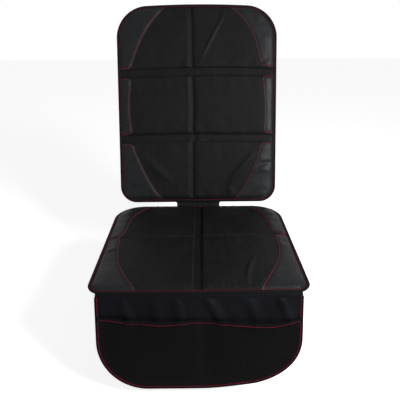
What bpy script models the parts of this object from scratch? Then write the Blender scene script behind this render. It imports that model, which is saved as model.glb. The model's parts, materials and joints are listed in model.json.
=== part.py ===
"""A car seat protector mat: quilted back and seat panels joined by a bight strip, and a front flap with net pockets.

Each panel is laid out flat first, with u across it, v along it and w out of its face. An empty then carries the panel
to its place. The seat panel lies level with its underside at z = 0, the viewer is towards -Y and +X is to the right.
"""

import math
from dataclasses import dataclass

import bmesh
import bpy
from mathutils import Vector

# Outlines of the panels, in metres
PANEL_WIDTH = 0.480
BACK_FOOT_WIDTH = 0.470
BACK_HEIGHT = 0.590
BACK_TOP_BOW = 0.010
BACK_TOP_CORNER = 0.088
BACK_FOOT_CORNER = 0.048
SEAT_DEPTH = 0.440
SEAT_REAR_CORNER = 0.080
SEAT_FRONT_CORNER = 0.035
FLAP_WIDTH = 0.442
FLAP_LENGTH = 0.215
FLAP_CORNER = 0.110
STRIP_WIDTH = 0.130

# How the panels stand to each other
BACK_RECLINE = math.radians(20)
FLAP_LEAN = math.radians(15)
BIGHT_RADIUS = 0.008
BIGHT_RUN = 0.009
BIGHT_RISE = 0.015
FLAP_BEND_RADIUS = 0.003

# Padding, sewn down along channels
PAD_HEIGHT = 0.0080
PAD_SHOULDER = 0.014
EDGE_MARGIN = 0.014
CHANNEL = 0.018
BACK_FOLD_CHANNEL = 0.021
SEAT_FOLD_CHANNEL = 0.010
BACK_FOLDS = (0.193, 0.391)
SEAT_FOLD = 0.016

# Thicknesses of the layers, and the gap left between two of them
LINING = 0.0008
COVER = 0.0008
LEATHER = 0.0006
TAPE = 0.0008
STRIP = 0.0008
FLAP_CLOTH = 0.0010
NET = 0.0006
HEM = 0.0012
GAP = 0.0003

# Binding tape and the hem of the pockets
TAPE_LEG = 0.010
TAPE_SLACK = 0.0008
HEM_WIDTH = 0.009

# Net pockets
NET_TOP = 0.060
POCKET_SAG = 0.014
POCKET_BULGE = 0.018
POCKET_SEAM = 0.008
NET_STRAND = 0.005
NET_COLUMNS = 12
NET_ROWS = 8

# Leather patches: how wide each is, in from the panel's side, at its lower end, its middle and its upper end
PATCH_SETBACK = 0.003
PATCH_FILLET = 0.006
BACK_TOP_PATCH = (0.042, 0.068, 0.134)
BACK_MIDDLE_PATCH = (0.039, 0.033, 0.039)
BACK_FOOT_PATCH = (0.122, 0.082, 0.044)
SEAT_REAR_PATCH = (0.042, 0.053, 0.106)
SEAT_FRONT_PATCH = (0.108, 0.053, 0.037)

# Facets
SHOULDER_STEPS = 2
CORNER_STEPS = 4
ARC_STEPS = 10
BEND_STEPS = 5
LEVEL_TOLERANCE = 1e-9

SIDES = (("left", -1), ("right", 1))


@dataclass
class Panel:
    """A quilted panel: its sharp-cornered rectangle, the corners that round it, and its pads."""

    width: float
    start: float
    end: float
    start_corner: float
    end_corner: float
    folds: tuple
    fold_channel: float
    start_width: float
    bow: float = 0.0

    @property
    def half(self):
        return self.width / 2

    def pad_columns(self):
        """The two pads across the panel, as (low, high) pairs."""
        inner, outer = CHANNEL / 2, self.half - EDGE_MARGIN
        return [(-outer, -inner), (inner, outer)]

    def pad_rows(self):
        """The pads along the panel, as (low, high) pairs between the fold channels."""
        lows = [self.start + EDGE_MARGIN, *(fold + self.fold_channel / 2 for fold in self.folds)]
        highs = [*(fold - self.fold_channel / 2 for fold in self.folds), self.end - EDGE_MARGIN]
        return list(zip(lows, highs))

    def place(self, s, t):
        """The real (u, v) of a point of the sharp-cornered rectangle, with rounded corners, taper and bow."""
        corner = self.start_corner if t < (self.start + self.end) / 2 else self.end_corner
        across = (abs(s) - self.half + corner) / corner
        along = (max(self.start - t, t - self.end) + corner) / corner
        if across > 0 and along > 0:
            reach = max(across, along)
            angle = math.pi / 4 * min(across, along) / reach
            if along > across:
                angle = math.pi / 2 - angle
            s = math.copysign(self.half + corner * (reach * math.cos(angle) - 1), s)
            inset = corner * (1 - reach * math.sin(angle))
            t = self.start + inset if t < (self.start + self.end) / 2 else self.end - inset
        share = (t - self.start) / (self.end - self.start)
        taper = self.start_width + (self.width - self.start_width) * share
        return s * taper / self.width, t - self.bow * share * (s / self.half) ** 2


BACK = Panel(PANEL_WIDTH, 0, BACK_HEIGHT, BACK_FOOT_CORNER, BACK_TOP_CORNER, BACK_FOLDS, BACK_FOLD_CHANNEL,
             BACK_FOOT_WIDTH, BACK_TOP_BOW)
SEAT = Panel(PANEL_WIDTH, -SEAT_DEPTH / 2, SEAT_DEPTH / 2, SEAT_FRONT_CORNER, SEAT_REAR_CORNER, (SEAT_FOLD,),
             SEAT_FOLD_CHANNEL, PANEL_WIDTH)


def clear_scene():
    for item in list(bpy.data.objects):
        bpy.data.objects.remove(item)


def new_collection(name, hidden=False):
    collection = bpy.data.collections.new(name)
    collection.hide_render = hidden
    bpy.context.scene.collection.children.link(collection)
    return collection


def new_material(name, colour, roughness):
    material = bpy.data.materials.new(name)
    material.use_nodes = True
    shader = material.node_tree.nodes["Principled BSDF"]
    shader.inputs["Base Color"].default_value = (*colour, 1)
    shader.inputs["Roughness"].default_value = roughness
    shader.inputs["Metallic"].default_value = 0
    return material


clear_scene()
PARTS = new_collection("car_seat_protector_mat")
CUTTERS = new_collection("cutters", hidden=True)

OXFORD = new_material("oxford_cloth", (0.016, 0.016, 0.017), 0.75)
GRAINED = new_material("grained_leather", (0.026, 0.028, 0.031), 0.45)
BACKING = new_material("anti_slip_backing", (0.020, 0.020, 0.021), 0.85)
WEBBING = new_material("binding_tape", (0.009, 0.009, 0.010), 0.70)
FOAM = new_material("foam", (0.45, 0.45, 0.44), 0.90)
FLAP_FABRIC = new_material("flap_cloth", (0.014, 0.015, 0.020), 0.60)
NETTING = new_material("pocket_net", (0.010, 0.010, 0.012), 0.65)


def new_frame(name, origin, tilt):
    """An empty that carries a panel: tilt turns the flat layout up about the panel's own u axis."""
    frame = bpy.data.objects.new(name, None)
    frame.location = origin
    frame.rotation_euler = (tilt, 0, 0)
    PARTS.objects.link(frame)
    return frame


def new_piece(name, mesh, frame, material):
    """Turns a bmesh into a named object on its frame."""
    bmesh.ops.recalc_face_normals(mesh, faces=mesh.faces)
    data = bpy.data.meshes.new(name)
    mesh.to_mesh(data)
    mesh.free()
    data.materials.append(material)
    piece = bpy.data.objects.new(name, data)
    piece.parent = frame
    PARTS.objects.link(piece)
    return piece


def shade_round(piece):
    piece.data.shade_smooth()
    piece.data.set_sharp_from_angle(angle=math.radians(50))


def merge_flat(mesh):
    """Joins the faces that lie level in the flat layout, so that flat stretches cost few triangles."""
    mesh.normal_update()
    level = {face for face in mesh.faces if abs(face.normal.z) > 1 - LEVEL_TOLERANCE}
    edges = [edge for edge in mesh.edges if level.issuperset(edge.link_faces)]
    verts = [vert for vert in mesh.verts if level.issuperset(vert.link_faces)]
    bmesh.ops.dissolve_limit(mesh, angle_limit=math.radians(1), verts=verts, edges=edges)


def grid(columns, rows):
    """An open grid with its lines at the given columns (x) and rows (y)."""
    mesh = bmesh.new()
    bmesh.ops.create_grid(mesh, x_segments=len(columns) - 1, y_segments=len(rows) - 1, size=1)
    for vert in mesh.verts:
        column = round((vert.co.x + 1) / 2 * (len(columns) - 1))
        row = round((vert.co.y + 1) / 2 * (len(rows) - 1))
        vert.co = (columns[column], rows[row], 0)
    return mesh


def thicken(mesh, place, low, high):
    """Makes a sheet of an open grid: place gives each point's (u, v), low and high the sheet's two faces."""
    made = bmesh.ops.extrude_face_region(mesh, geom=mesh.faces[:])
    raised = {item for item in made["geom"] if isinstance(item, bmesh.types.BMVert)}
    for vert in mesh.verts:
        s, t = vert.co.x, vert.co.y
        height = high(s, t) if vert in raised else low(s, t)
        vert.co = (*place(s, t), height)
    return mesh


# Heights of the layers

def shoulder(distance):
    """The padding's share of its full height at a distance inside a pad's edge."""
    return math.sin(math.pi / 2 * min(max(distance / PAD_SHOULDER, 0), 1))


def padding(panel, s, t):
    """The height of the padding above the channels at a point of the panel."""
    across = max(min(s - low, high - s) for low, high in panel.pad_columns())
    along = max(min(t - low, high - t) for low, high in panel.pad_rows())
    return PAD_HEIGHT * shoulder(across) * shoulder(along)


def edge_lift(panel, s, t):
    """How far the layers rise off the flat along the edge, where the binding folds under them."""
    distance = min(panel.half - abs(s), t - panel.start, panel.end - t)
    under_tape = TAPE_LEG + GAP
    share = (EDGE_MARGIN - distance) / (EDGE_MARGIN - under_tape)
    return (TAPE + GAP) * min(max(share, 0), 1)


def lining_top(panel, s, t):
    return edge_lift(panel, s, t) + LINING


def cover_bottom(panel, s, t):
    return lining_top(panel, s, t) + GAP + padding(panel, s, t)


def cover_top(panel, s, t):
    return cover_bottom(panel, s, t) + COVER


def leather_bottom(panel, s, t):
    return cover_top(panel, s, t) + GAP


def binding_heights():
    """The inner faces of the binding's two legs: under the lining and over the leather."""
    return TAPE, TAPE + GAP + LINING + GAP + COVER + GAP + LEATHER + GAP


# Grid lines

def pad_lines(low, high):
    """Lines across one pad, close together over its rounded shoulders."""
    steps = [PAD_SHOULDER * step / SHOULDER_STEPS for step in range(SHOULDER_STEPS + 1)]
    return [low + step for step in steps] + [high - step for step in reversed(steps)]


def edge_lines(edge, inwards, corner):
    """Lines along one edge of a panel: under the binding, and through its rounded corners."""
    turns = [corner * step / CORNER_STEPS for step in range(1, CORNER_STEPS + 1)]
    kept = [turn for turn in turns if turn > EDGE_MARGIN + PAD_SHOULDER]
    return [edge, edge + inwards * (TAPE_LEG + GAP)] + [edge + inwards * turn for turn in kept]


def in_order(lines):
    """The lines in rising order, each of them once."""
    return sorted({round(line, 6) for line in lines})


def column_lines(panel):
    corner = max(panel.start_corner, panel.end_corner)
    lines = edge_lines(-panel.half, 1, corner) + edge_lines(panel.half, -1, corner)
    for low, high in panel.pad_columns():
        lines += pad_lines(low, high)
    return in_order(lines)


def row_lines(panel):
    lines = edge_lines(panel.start, 1, panel.start_corner) + edge_lines(panel.end, -1, panel.end_corner)
    for low, high in panel.pad_rows():
        lines += pad_lines(low, high)
    return in_order(lines)


def near_ends(panel, lines):
    """The lines within the rounded corners of a panel's two ends."""
    first, last = panel.start + panel.start_corner + GAP, panel.end - panel.end_corner - GAP
    return [line for line in lines if line < first or line > last]


def spanning(lines, low, high):
    """The fewest of the lines that reach from low to high or past them."""
    first = max((line for line in lines if line < low + GAP), default=lines[0])
    last = min((line for line in lines if line > high - GAP), default=lines[-1])
    return [line for line in lines if first <= line <= last]


def pad_grid(panel, columns, rows):
    """A grid of triangles. Its diagonals run round the corners of the pads, in the same way in every layer."""
    mesh = grid(columns, rows)

    def offset(value, pads):
        middles = [(low + high) / 2 for low, high in pads]
        return value - min(middles, key=lambda middle: abs(value - middle))

    rising, falling = [], []
    for face in mesh.faces:
        spot = face.calc_center_median()
        quadrant = offset(spot.x, panel.pad_columns()) * offset(spot.y, panel.pad_rows())
        (falling if quadrant > 0 else rising).append(face)
    bmesh.ops.triangulate(mesh, faces=rising, quad_method="FIXED")
    bmesh.ops.triangulate(mesh, faces=falling, quad_method="ALTERNATE")
    return mesh


# Layers of a panel

def make_layer(name, panel, frame, material, low, high, columns=None, rows=None, merge=True):
    mesh = pad_grid(panel, columns or column_lines(panel), rows or row_lines(panel))
    thicken(mesh, panel.place, lambda s, t: low(panel, s, t), lambda s, t: high(panel, s, t))
    if merge:
        merge_flat(mesh)
    piece = new_piece(name, mesh, frame, material)
    shade_round(piece)
    return piece


def make_foam(name, panel, frame, column, row):
    """One foam pad: it starts on the first line of the shoulder, where it already has a rim."""
    rim = PAD_SHOULDER / SHOULDER_STEPS
    columns = spanning(column_lines(panel), column[0] + rim, column[1] - rim)
    rows = spanning(row_lines(panel), row[0] + rim, row[1] - rim)
    make_layer(name, panel, frame, FOAM, lambda *_: LINING + GAP, lambda *spot: cover_bottom(*spot) - GAP,
               columns, rows)


def circle_through(start, middle, end):
    """Points of the circular arc through three points."""
    a, b, c = (complex(*point) for point in (start, middle, end))
    turn = (c - a) / (b - a)
    centre = a + (b - a) * (turn - abs(turn) ** 2) / (2j * turn.imag)
    first = math.atan2((a - centre).imag, (a - centre).real)
    sweep = math.atan2(((c - centre) / (a - centre)).imag, ((c - centre) / (a - centre)).real)
    radius = abs(a - centre)
    angles = [first + sweep * step / ARC_STEPS for step in range(ARC_STEPS + 1)]
    return [(centre.real + radius * math.cos(angle), centre.imag + radius * math.sin(angle)) for angle in angles]


def fillet(before, corner, after, radius):
    """Three points that round a corner between two other points."""
    corner = Vector(corner)
    entry = corner + (Vector(before) - corner).normalized() * radius
    leave = corner + (Vector(after) - corner).normalized() * radius
    return [tuple(entry), tuple((entry + leave) / 4 + corner / 2), tuple(leave)]


def prism(name, outline, frame, low, high):
    """A cutter of the given outline from height low to height high, made from a filled curve."""
    curve = bpy.data.curves.new(name, "CURVE")
    curve.dimensions = "2D"
    curve.fill_mode = "BOTH"
    curve.extrude = (high - low) / 2
    spline = curve.splines.new("POLY")
    spline.points.add(len(outline) - 1)
    for point, (u, v) in zip(spline.points, outline):
        point.co = (u, v, 0, 1)
    spline.use_cyclic_u = True
    drawn = bpy.data.objects.new(name + "_curve", curve)
    CUTTERS.objects.link(drawn)
    drawn.location.z = (low + high) / 2
    drawn.parent = frame
    bpy.context.view_layer.update()
    data = bpy.data.meshes.new_from_object(drawn.evaluated_get(bpy.context.evaluated_depsgraph_get()))
    mesh = bmesh.new()
    mesh.from_mesh(data)
    bmesh.ops.remove_doubles(mesh, verts=mesh.verts, dist=GAP / 10)
    bmesh.ops.recalc_face_normals(mesh, faces=mesh.faces)
    mesh.to_mesh(data)
    mesh.free()
    cutter = bpy.data.objects.new(name, data)
    cutter.matrix_world = drawn.matrix_world
    cutter.hide_render = True
    cutter.display_type = "WIRE"
    CUTTERS.objects.link(cutter)
    bpy.data.objects.remove(drawn)
    return cutter


def patch_outline(panel, side, row, widths, round_start, round_end):
    """The outline of a leather patch: its bowed inner edge, then out past the panel's edge."""
    outside = panel.half + EDGE_MARGIN
    reach = [panel.half - width for width in widths]
    low = row[0] + PATCH_SETBACK if round_start else row[0] - 2 * EDGE_MARGIN
    high = row[1] - PATCH_SETBACK if round_end else row[1] + 2 * EDGE_MARGIN
    middle = (row[0] + row[1]) / 2
    inner = circle_through((side * reach[0], row[0]), (side * reach[1], middle), (side * reach[2], row[1]))
    inner = [(u, min(max(v, low), high)) for u, v in inner]
    start, end = (side * outside, low), (side * outside, high)
    if round_start:
        inner = fillet(start, inner[0], inner[1], PATCH_FILLET) + inner[1:]
    else:
        inner = [(inner[0][0], low)] + inner
    if round_end:
        inner = inner[:-1] + fillet(inner[-2], inner[-1], end, PATCH_FILLET)
    else:
        inner = inner + [(inner[-1][0], high)]
    return [start, *inner, end]


def make_patch(name, panel, frame, side, row, widths, round_start=True, round_end=True):
    """A leather patch over the cover, cut from a sheet that follows the padding."""
    near, far = side * (panel.half - max(widths) - PATCH_FILLET), side * panel.half
    columns = spanning(column_lines(panel), min(near, far), max(near, far))
    low = row[0] if round_start else panel.start
    high = row[1] if round_end else panel.end
    rows = spanning(row_lines(panel), low, high)
    piece = make_layer(name, panel, frame, GRAINED, leather_bottom,
                       lambda *spot: leather_bottom(*spot) + LEATHER, columns, rows, merge=False)
    outline = patch_outline(panel, side, row, widths, round_start, round_end)
    cutter = prism(name + "_outline", outline, frame, -PAD_HEIGHT, 3 * PAD_HEIGHT)
    cut = piece.modifiers.new("outline", "BOOLEAN")
    cut.operation = "INTERSECT"
    cut.solver = "EXACT"
    cut.object = cutter
    return piece


# Tapes and strips

def make_tape(name, stations, frame, material, thickness):
    """A tape folded over an edge. Each station holds the points of the fold's inner face, leg to leg."""
    mesh = grid(range(len(stations)), range(len(stations[0])))
    for vert in mesh.verts:
        vert.co = stations[round(vert.co.x)][round(vert.co.y)]
    piece = new_piece(name, mesh, frame, material)
    solid = piece.modifiers.new("thickness", "SOLIDIFY")
    solid.thickness = thickness
    solid.offset = 1
    solid.use_even_offset = True
    shade_round(piece)
    return piece


def outwards(path):
    """The outward direction at each point of a path that runs anticlockwise."""
    found = []
    for i in range(len(path)):
        before, after = path[max(i - 1, 0)], path[min(i + 1, len(path) - 1)]
        tangent = (Vector(after) - Vector(before)).normalized()
        found.append(Vector((tangent.y, -tangent.x)))
    return found


def fold_over(path, low, high):
    """Stations of a tape that folds over the edge of a flat stack, between the heights low and high."""
    stations = []
    for point, normal in zip(path, outwards(path)):
        edge = Vector(point) + normal * TAPE_SLACK
        inner = Vector(point) - normal * TAPE_LEG
        stations.append([(*inner, low), (*edge, low), (*edge, high), (*inner, high)])
    return stations


def corner_points(panel, across, along):
    """Points of the sharp-cornered rectangle round one corner, anticlockwise, that place then rounds."""
    size = panel.start_corner if along < 0 else panel.end_corner
    end = panel.start if along < 0 else panel.end
    turns = [step / CORNER_STEPS for step in range(CORNER_STEPS + 1)]
    shares = [(1, turn) for turn in turns] + [(turn, 1) for turn in reversed(turns[:-1])]
    points = [(across * (panel.half - size * (1 - x)), end - along * size * (1 - y)) for x, y in shares]
    return points if across * along > 0 else points[::-1]


def panel_edge(panel, open_end):
    """The panel's edge as an open anticlockwise path from one side of the bight strip round to the other."""
    right = corner_points(panel, 1, -1) + corner_points(panel, 1, 1)
    left = corner_points(panel, -1, 1) + corner_points(panel, -1, -1)
    if open_end == "start":
        between = [s for s in reversed(column_lines(panel)) if abs(s) < panel.half - panel.end_corner - GAP]
        path = right + [(s, panel.end) for s in between] + left
        first, end = STRIP_WIDTH / 2 + GAP, panel.start
    else:
        path = left + right
        first, end = -STRIP_WIDTH / 2 - GAP, panel.end
    return [(first, end), *(panel.place(*point) for point in path), (-first, end)]


def run(start, direction, length):
    """The end of a straight run in the (y, z) plane."""
    return start[0] + direction[0] * length, start[1] + direction[1] * length


def bend(start, heading, turn, radius):
    """Points of an arc in the (y, z) plane that leaves start at a heading and turns by an angle."""
    points = []
    sign = math.copysign(1, turn)
    for step in range(BEND_STEPS + 1):
        swept = turn * step / BEND_STEPS
        across = radius * (1 - math.cos(swept)) * sign
        ahead = radius * abs(math.sin(swept))
        points.append((start[0] + ahead * math.cos(heading) - across * math.sin(heading),
                       start[1] + ahead * math.sin(heading) + across * math.cos(heading)))
    return points


def make_strip(name, path, half_widths, material, thickness):
    """A strip that bends along a path in the (y, z) plane, with its own half width at each point."""
    mesh = grid((-1, 1), range(len(path)))
    for vert in mesh.verts:
        row = round(vert.co.y)
        vert.co = (vert.co.x * half_widths[row], *path[row])
    piece = new_piece(name, mesh, None, material)
    solid = piece.modifiers.new("thickness", "SOLIDIFY")
    solid.thickness = thickness
    solid.offset = 0
    solid.use_even_offset = True
    shade_round(piece)
    return piece


# The three panels

def make_quilted_panel(prefix, panel, frame, row_names):
    rows = near_ends(panel, row_lines(panel))
    make_layer(prefix + "_lining", panel, frame, BACKING, edge_lift, lining_top, rows=rows)
    make_layer(prefix + "_cover", panel, frame, OXFORD, cover_bottom, cover_top)
    for row_name, row in zip(row_names, panel.pad_rows()):
        for (side_name, _), column in zip(SIDES, panel.pad_columns()):
            make_foam(f"{prefix}_foam_{row_name}_{side_name}", panel, frame, column, row)


def make_back():
    """The back panel, on a frame at the middle of its lower edge."""
    origin, _ = bight_path()
    frame = new_frame("back_frame", (0, *origin), math.pi / 2 - BACK_RECLINE)
    make_quilted_panel("back", BACK, frame, ("foot", "middle", "top"))
    foot, middle, top = BACK.pad_rows()
    for side_name, side in SIDES:
        make_patch("back_leather_foot_" + side_name, BACK, frame, side, foot, BACK_FOOT_PATCH, round_start=False)
        make_patch("back_leather_middle_" + side_name, BACK, frame, side, middle, BACK_MIDDLE_PATCH)
        make_patch("back_leather_top_" + side_name, BACK, frame, side, top, BACK_TOP_PATCH, round_end=False)
    edge = panel_edge(BACK, "start")
    make_tape("back_binding", fold_over(edge, *binding_heights()), frame, WEBBING, TAPE)


def make_seat():
    """The seat panel, on a frame at the middle of its underside."""
    frame = new_frame("seat_frame", (0, 0, 0), 0)
    make_quilted_panel("seat", SEAT, frame, ("front", "rear"))
    front, rear = SEAT.pad_rows()
    for side_name, side in SIDES:
        make_patch("seat_leather_front_" + side_name, SEAT, frame, side, front, SEAT_FRONT_PATCH, round_start=False)
        make_patch("seat_leather_rear_" + side_name, SEAT, frame, side, rear, SEAT_REAR_PATCH, round_end=False)
    edge = panel_edge(SEAT, "end")
    make_tape("seat_binding", fold_over(edge, *binding_heights()), frame, WEBBING, TAPE)


def bight_path():
    """The back panel's origin in the (y, z) plane, and the middle line of the strip that joins it to the seat."""
    level = STRIP / 2
    up = (math.sin(BACK_RECLINE), math.cos(BACK_RECLINE))
    turn = math.pi / 2 - BACK_RECLINE
    tangent = BIGHT_RADIUS * math.tan(turn / 2)
    crossing = (SEAT_DEPTH / 2 + BIGHT_RUN, level)
    start = (SEAT_DEPTH / 2 - TAPE_LEG, level)
    points = [start] + bend((crossing[0] - tangent, level), 0, turn, BIGHT_RADIUS)
    points.append(run(crossing, up, BIGHT_RISE + TAPE_LEG))
    foot = run(crossing, up, BIGHT_RISE)
    origin = (foot[0] + up[1] * level, foot[1] - up[0] * level)
    return origin, points


def make_bight():
    """The strip through the seat's bight, lapped behind the margins of both panels."""
    _, path = bight_path()
    make_strip("bight_strip", path, [STRIP_WIDTH / 2] * len(path), OXFORD, STRIP)


# The front flap

def flap_half_width(depth):
    """Half the flap's width at a depth below its top, with the round lower corners."""
    into_corner = max(depth - FLAP_LENGTH + FLAP_CORNER, 0)
    return FLAP_WIDTH / 2 - FLAP_CORNER + math.sqrt(max(FLAP_CORNER**2 - into_corner**2, 0))


def flap_path():
    """The flap's middle line in the (y, z) plane: lapped under the seat's front edge, then hanging."""
    level = -GAP - FLAP_CLOTH / 2
    turn = math.pi / 2 - FLAP_LEAN
    front = -SEAT_DEPTH / 2 + FLAP_BEND_RADIUS
    return [(front + TAPE_LEG, level)] + bend((front, level), math.pi, turn, FLAP_BEND_RADIUS)


def flap_depths():
    """Depths of the rows that the flap needs: its ends and its round corners."""
    angles = [math.pi / 2 * step / (2 * CORNER_STEPS) for step in range(2 * CORNER_STEPS + 1)]
    return [FLAP_LENGTH - FLAP_CORNER * (1 - math.sin(angle)) for angle in angles]


def make_flap():
    """The flap, its binding, and the two net pockets under one hem."""
    top = flap_path()
    down = (-math.sin(FLAP_LEAN), -math.cos(FLAP_LEAN))
    out = (-math.cos(FLAP_LEAN), math.sin(FLAP_LEAN))
    depths = flap_depths()
    path = top + [run(top[-1], down, depth) for depth in depths]
    widths = [FLAP_WIDTH / 2] * len(top) + [flap_half_width(depth) for depth in depths]
    make_strip("flap_panel", path, widths, FLAP_FABRIC, FLAP_CLOTH)

    # The flap's frame has the back of the binding at w = 0 and v running up the flap.
    origin = run(top[-1], out, -(TAPE + GAP + FLAP_CLOTH / 2))
    frame = new_frame("flap_frame", (0, *origin), math.pi / 2 - FLAP_LEAN)
    left = [(-flap_half_width(depth), -depth) for depth in [TAPE_LEG / 2] + depths]
    right = [(-u, v) for u, v in reversed(left)]
    low, high = TAPE, TAPE + GAP + FLAP_CLOTH + GAP + NET + GAP
    make_tape("flap_binding", fold_over(left + right, low, high), frame, WEBBING, TAPE)
    make_net(frame)
    make_hem(frame)


NET_PANEL = Panel(FLAP_WIDTH, -FLAP_LENGTH, FLAP_CORNER, FLAP_CORNER, GAP, (), 0, FLAP_WIDTH)


def net_shares(s, t):
    """How far a point of the net is across its pocket, and up it, from 0 to 1."""
    inner = POCKET_SEAM / 2
    foot = -FLAP_LENGTH + TAPE_LEG + GAP
    across = (abs(s) - inner) / (NET_PANEL.half - TAPE_LEG - GAP - inner)
    up = (t - foot) / (-NET_TOP - foot)
    return min(max(across, 0), 1), min(max(up, 0), 1)


def net_place(s, t):
    """The (u, v) of a point of the net: each pocket's mouth sags between its seams."""
    across, up = net_shares(s, t)
    u, v = NET_PANEL.place(s, t)
    return u, v - POCKET_SAG * math.sin(math.pi * across) * up**3


def net_bottom(s, t):
    """The back face of the net: against the flap along its seams, and standing off it in each pocket."""
    across, up = net_shares(s, t)
    return TAPE + GAP + FLAP_CLOTH + GAP + POCKET_BULGE * math.sin(math.pi * across) * math.sin(math.pi / 2 * up)


def hem_bottom(s, t):
    return net_bottom(s, t) + NET + GAP


def net_columns():
    inner, outer = POCKET_SEAM / 2, NET_PANEL.half - TAPE_LEG - GAP
    side = [inner + (outer - inner) * step / NET_COLUMNS for step in range(NET_COLUMNS + 1)]
    return [-NET_PANEL.half, *(-line for line in reversed(side)), 0, *side, NET_PANEL.half]


def net_rows():
    foot, head = -FLAP_LENGTH + TAPE_LEG + GAP, -NET_TOP - HEM_WIDTH
    return [-FLAP_LENGTH, *(foot + (head - foot) * step / NET_ROWS for step in range(NET_ROWS + 1)), -NET_TOP]


def make_net(frame):
    """The pocket net: one wall whose strands cross in diamonds over both pockets."""
    columns, rows = net_columns(), net_rows()
    mesh = grid(range(len(columns)), range(len(rows)))

    def is_knot(vert):
        return round(vert.co.x + vert.co.y) % 2 == 0

    def is_in_pocket(vert):
        u, v = columns[round(vert.co.x)], rows[round(vert.co.y)]
        return POCKET_SEAM / 2 < abs(u) < columns[-2] and rows[1] < v < rows[-2]

    for face in list(mesh.faces):
        bmesh.utils.face_split(face, *(vert for vert in face.verts if is_knot(vert)))
    bmesh.ops.dissolve_verts(mesh, verts=[vert for vert in mesh.verts if is_in_pocket(vert) and not is_knot(vert)])
    for vert in mesh.verts:
        vert.co = (columns[round(vert.co.x)], rows[round(vert.co.y)], 0)
    cells = [face for face in mesh.faces if len(face.verts) == 4]
    bmesh.ops.inset_individual(mesh, faces=cells, thickness=NET_STRAND / 2, use_even_offset=True)
    bmesh.ops.delete(mesh, geom=cells, context="FACES_ONLY")
    bmesh.ops.triangulate(mesh, faces=mesh.faces)
    thicken(mesh, net_place, net_bottom, lambda s, t: net_bottom(s, t) + NET)
    shade_round(new_piece("pocket_net", mesh, frame, NETTING))


def make_hem(frame):
    """The elastic hem along the pockets' mouth, on the front of the net."""
    mesh = grid(net_columns()[1:-1], [-NET_TOP - HEM_WIDTH, -NET_TOP + GAP])
    thicken(mesh, net_place, hem_bottom, lambda s, t: hem_bottom(s, t) + HEM)
    shade_round(new_piece("pocket_hem", mesh, frame, WEBBING))


make_back()
make_seat()
make_bight()
make_flap()
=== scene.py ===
# %% [markdown]
# A car seat protector mat lies over a car seat so that a child seat doesn't mark it. This one is a quilted back panel
# and a quilted seat panel of black Oxford cloth, with grained leather patches along the sides, black binding tape and
# red stitching, and a flap in front whose net makes two pockets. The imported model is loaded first. Its solids say
# where each piece lies, and every piece made below takes the place of the solids that it stands for.

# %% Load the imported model
import json
import math

import bmesh
import bpy
import numpy as np
from mathutils import Matrix, Vector
from mathutils.bvhtree import BVHTree
from mathutils.geometry import delaunay_2d_cdt

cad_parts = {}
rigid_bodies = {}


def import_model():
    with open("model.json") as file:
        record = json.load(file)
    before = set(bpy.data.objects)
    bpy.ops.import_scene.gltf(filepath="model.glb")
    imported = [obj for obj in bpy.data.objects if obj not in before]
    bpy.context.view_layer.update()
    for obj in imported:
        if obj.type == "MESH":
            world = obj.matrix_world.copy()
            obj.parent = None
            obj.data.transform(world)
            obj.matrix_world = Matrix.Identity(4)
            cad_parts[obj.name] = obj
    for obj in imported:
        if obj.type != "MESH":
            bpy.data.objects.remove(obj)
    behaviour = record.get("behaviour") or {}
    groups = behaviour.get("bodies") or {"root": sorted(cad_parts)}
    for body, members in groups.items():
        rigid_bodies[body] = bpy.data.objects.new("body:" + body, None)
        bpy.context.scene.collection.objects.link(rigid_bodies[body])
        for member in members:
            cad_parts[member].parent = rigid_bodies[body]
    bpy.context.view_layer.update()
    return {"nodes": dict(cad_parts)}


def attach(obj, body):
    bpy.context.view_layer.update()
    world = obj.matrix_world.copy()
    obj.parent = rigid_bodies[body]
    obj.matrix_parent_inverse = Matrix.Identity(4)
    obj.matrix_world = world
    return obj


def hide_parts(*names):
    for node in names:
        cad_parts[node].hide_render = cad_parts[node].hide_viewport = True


for left_over in list(bpy.data.objects):
    bpy.data.objects.remove(left_over)
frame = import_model()


def add_object(name, data):
    made = bpy.data.objects.new(name, data)
    bpy.context.scene.collection.objects.link(made)
    return made


# %% [markdown]
# The camera stands where the photographer stood. Its place, its turn and its lens were found by fitting the outlines
# of the three panels to the picture, so here they are only numbers. Blender's camera looks along its own -Z, so the
# matrix is built from the three directions: right, up and backwards.

# %% Camera
CAMERA_PLACE = Vector((0.0001, -0.9560, 0.5340))
CAMERA_PITCH = math.radians(23.41)
CAMERA_YAW = math.radians(0.260)
CAMERA_ROLL = math.radians(-0.392)
CAMERA_LENS = 37.89

ahead = Vector((math.sin(CAMERA_YAW) * math.cos(CAMERA_PITCH), math.cos(CAMERA_YAW) * math.cos(CAMERA_PITCH),
                -math.sin(CAMERA_PITCH)))
level_right = Vector((math.cos(CAMERA_YAW), -math.sin(CAMERA_YAW), 0))
level_up = level_right.cross(ahead)
right = level_right * math.cos(CAMERA_ROLL) + level_up * math.sin(CAMERA_ROLL)
up = level_up * math.cos(CAMERA_ROLL) - level_right * math.sin(CAMERA_ROLL)

camera_data = bpy.data.cameras.new("photo_camera")
camera_data.lens = CAMERA_LENS
camera_data.sensor_width = 36
camera = add_object("photo_camera", camera_data)
camera.matrix_world = Matrix.Translation(CAMERA_PLACE) @ Matrix((right, up, -ahead)).transposed().to_4x4()
bpy.context.scene.camera = camera
print("camera at", tuple(CAMERA_PLACE), "lens", CAMERA_LENS)

# %% [markdown]
# Each panel is worked out lying flat, with u across it, v along it and w out of its face, and is then turned into its
# place. A grid of a sharp-cornered rectangle, with coordinates s and t, is bent into the rounded outline, because a
# regular grid is what cloth simulation likes best and because the seams stay on grid lines.

# %% Panels
HALF = 0.240
EDGE_STEP = 0.003
BACK_LEAN = math.radians(70)


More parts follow.
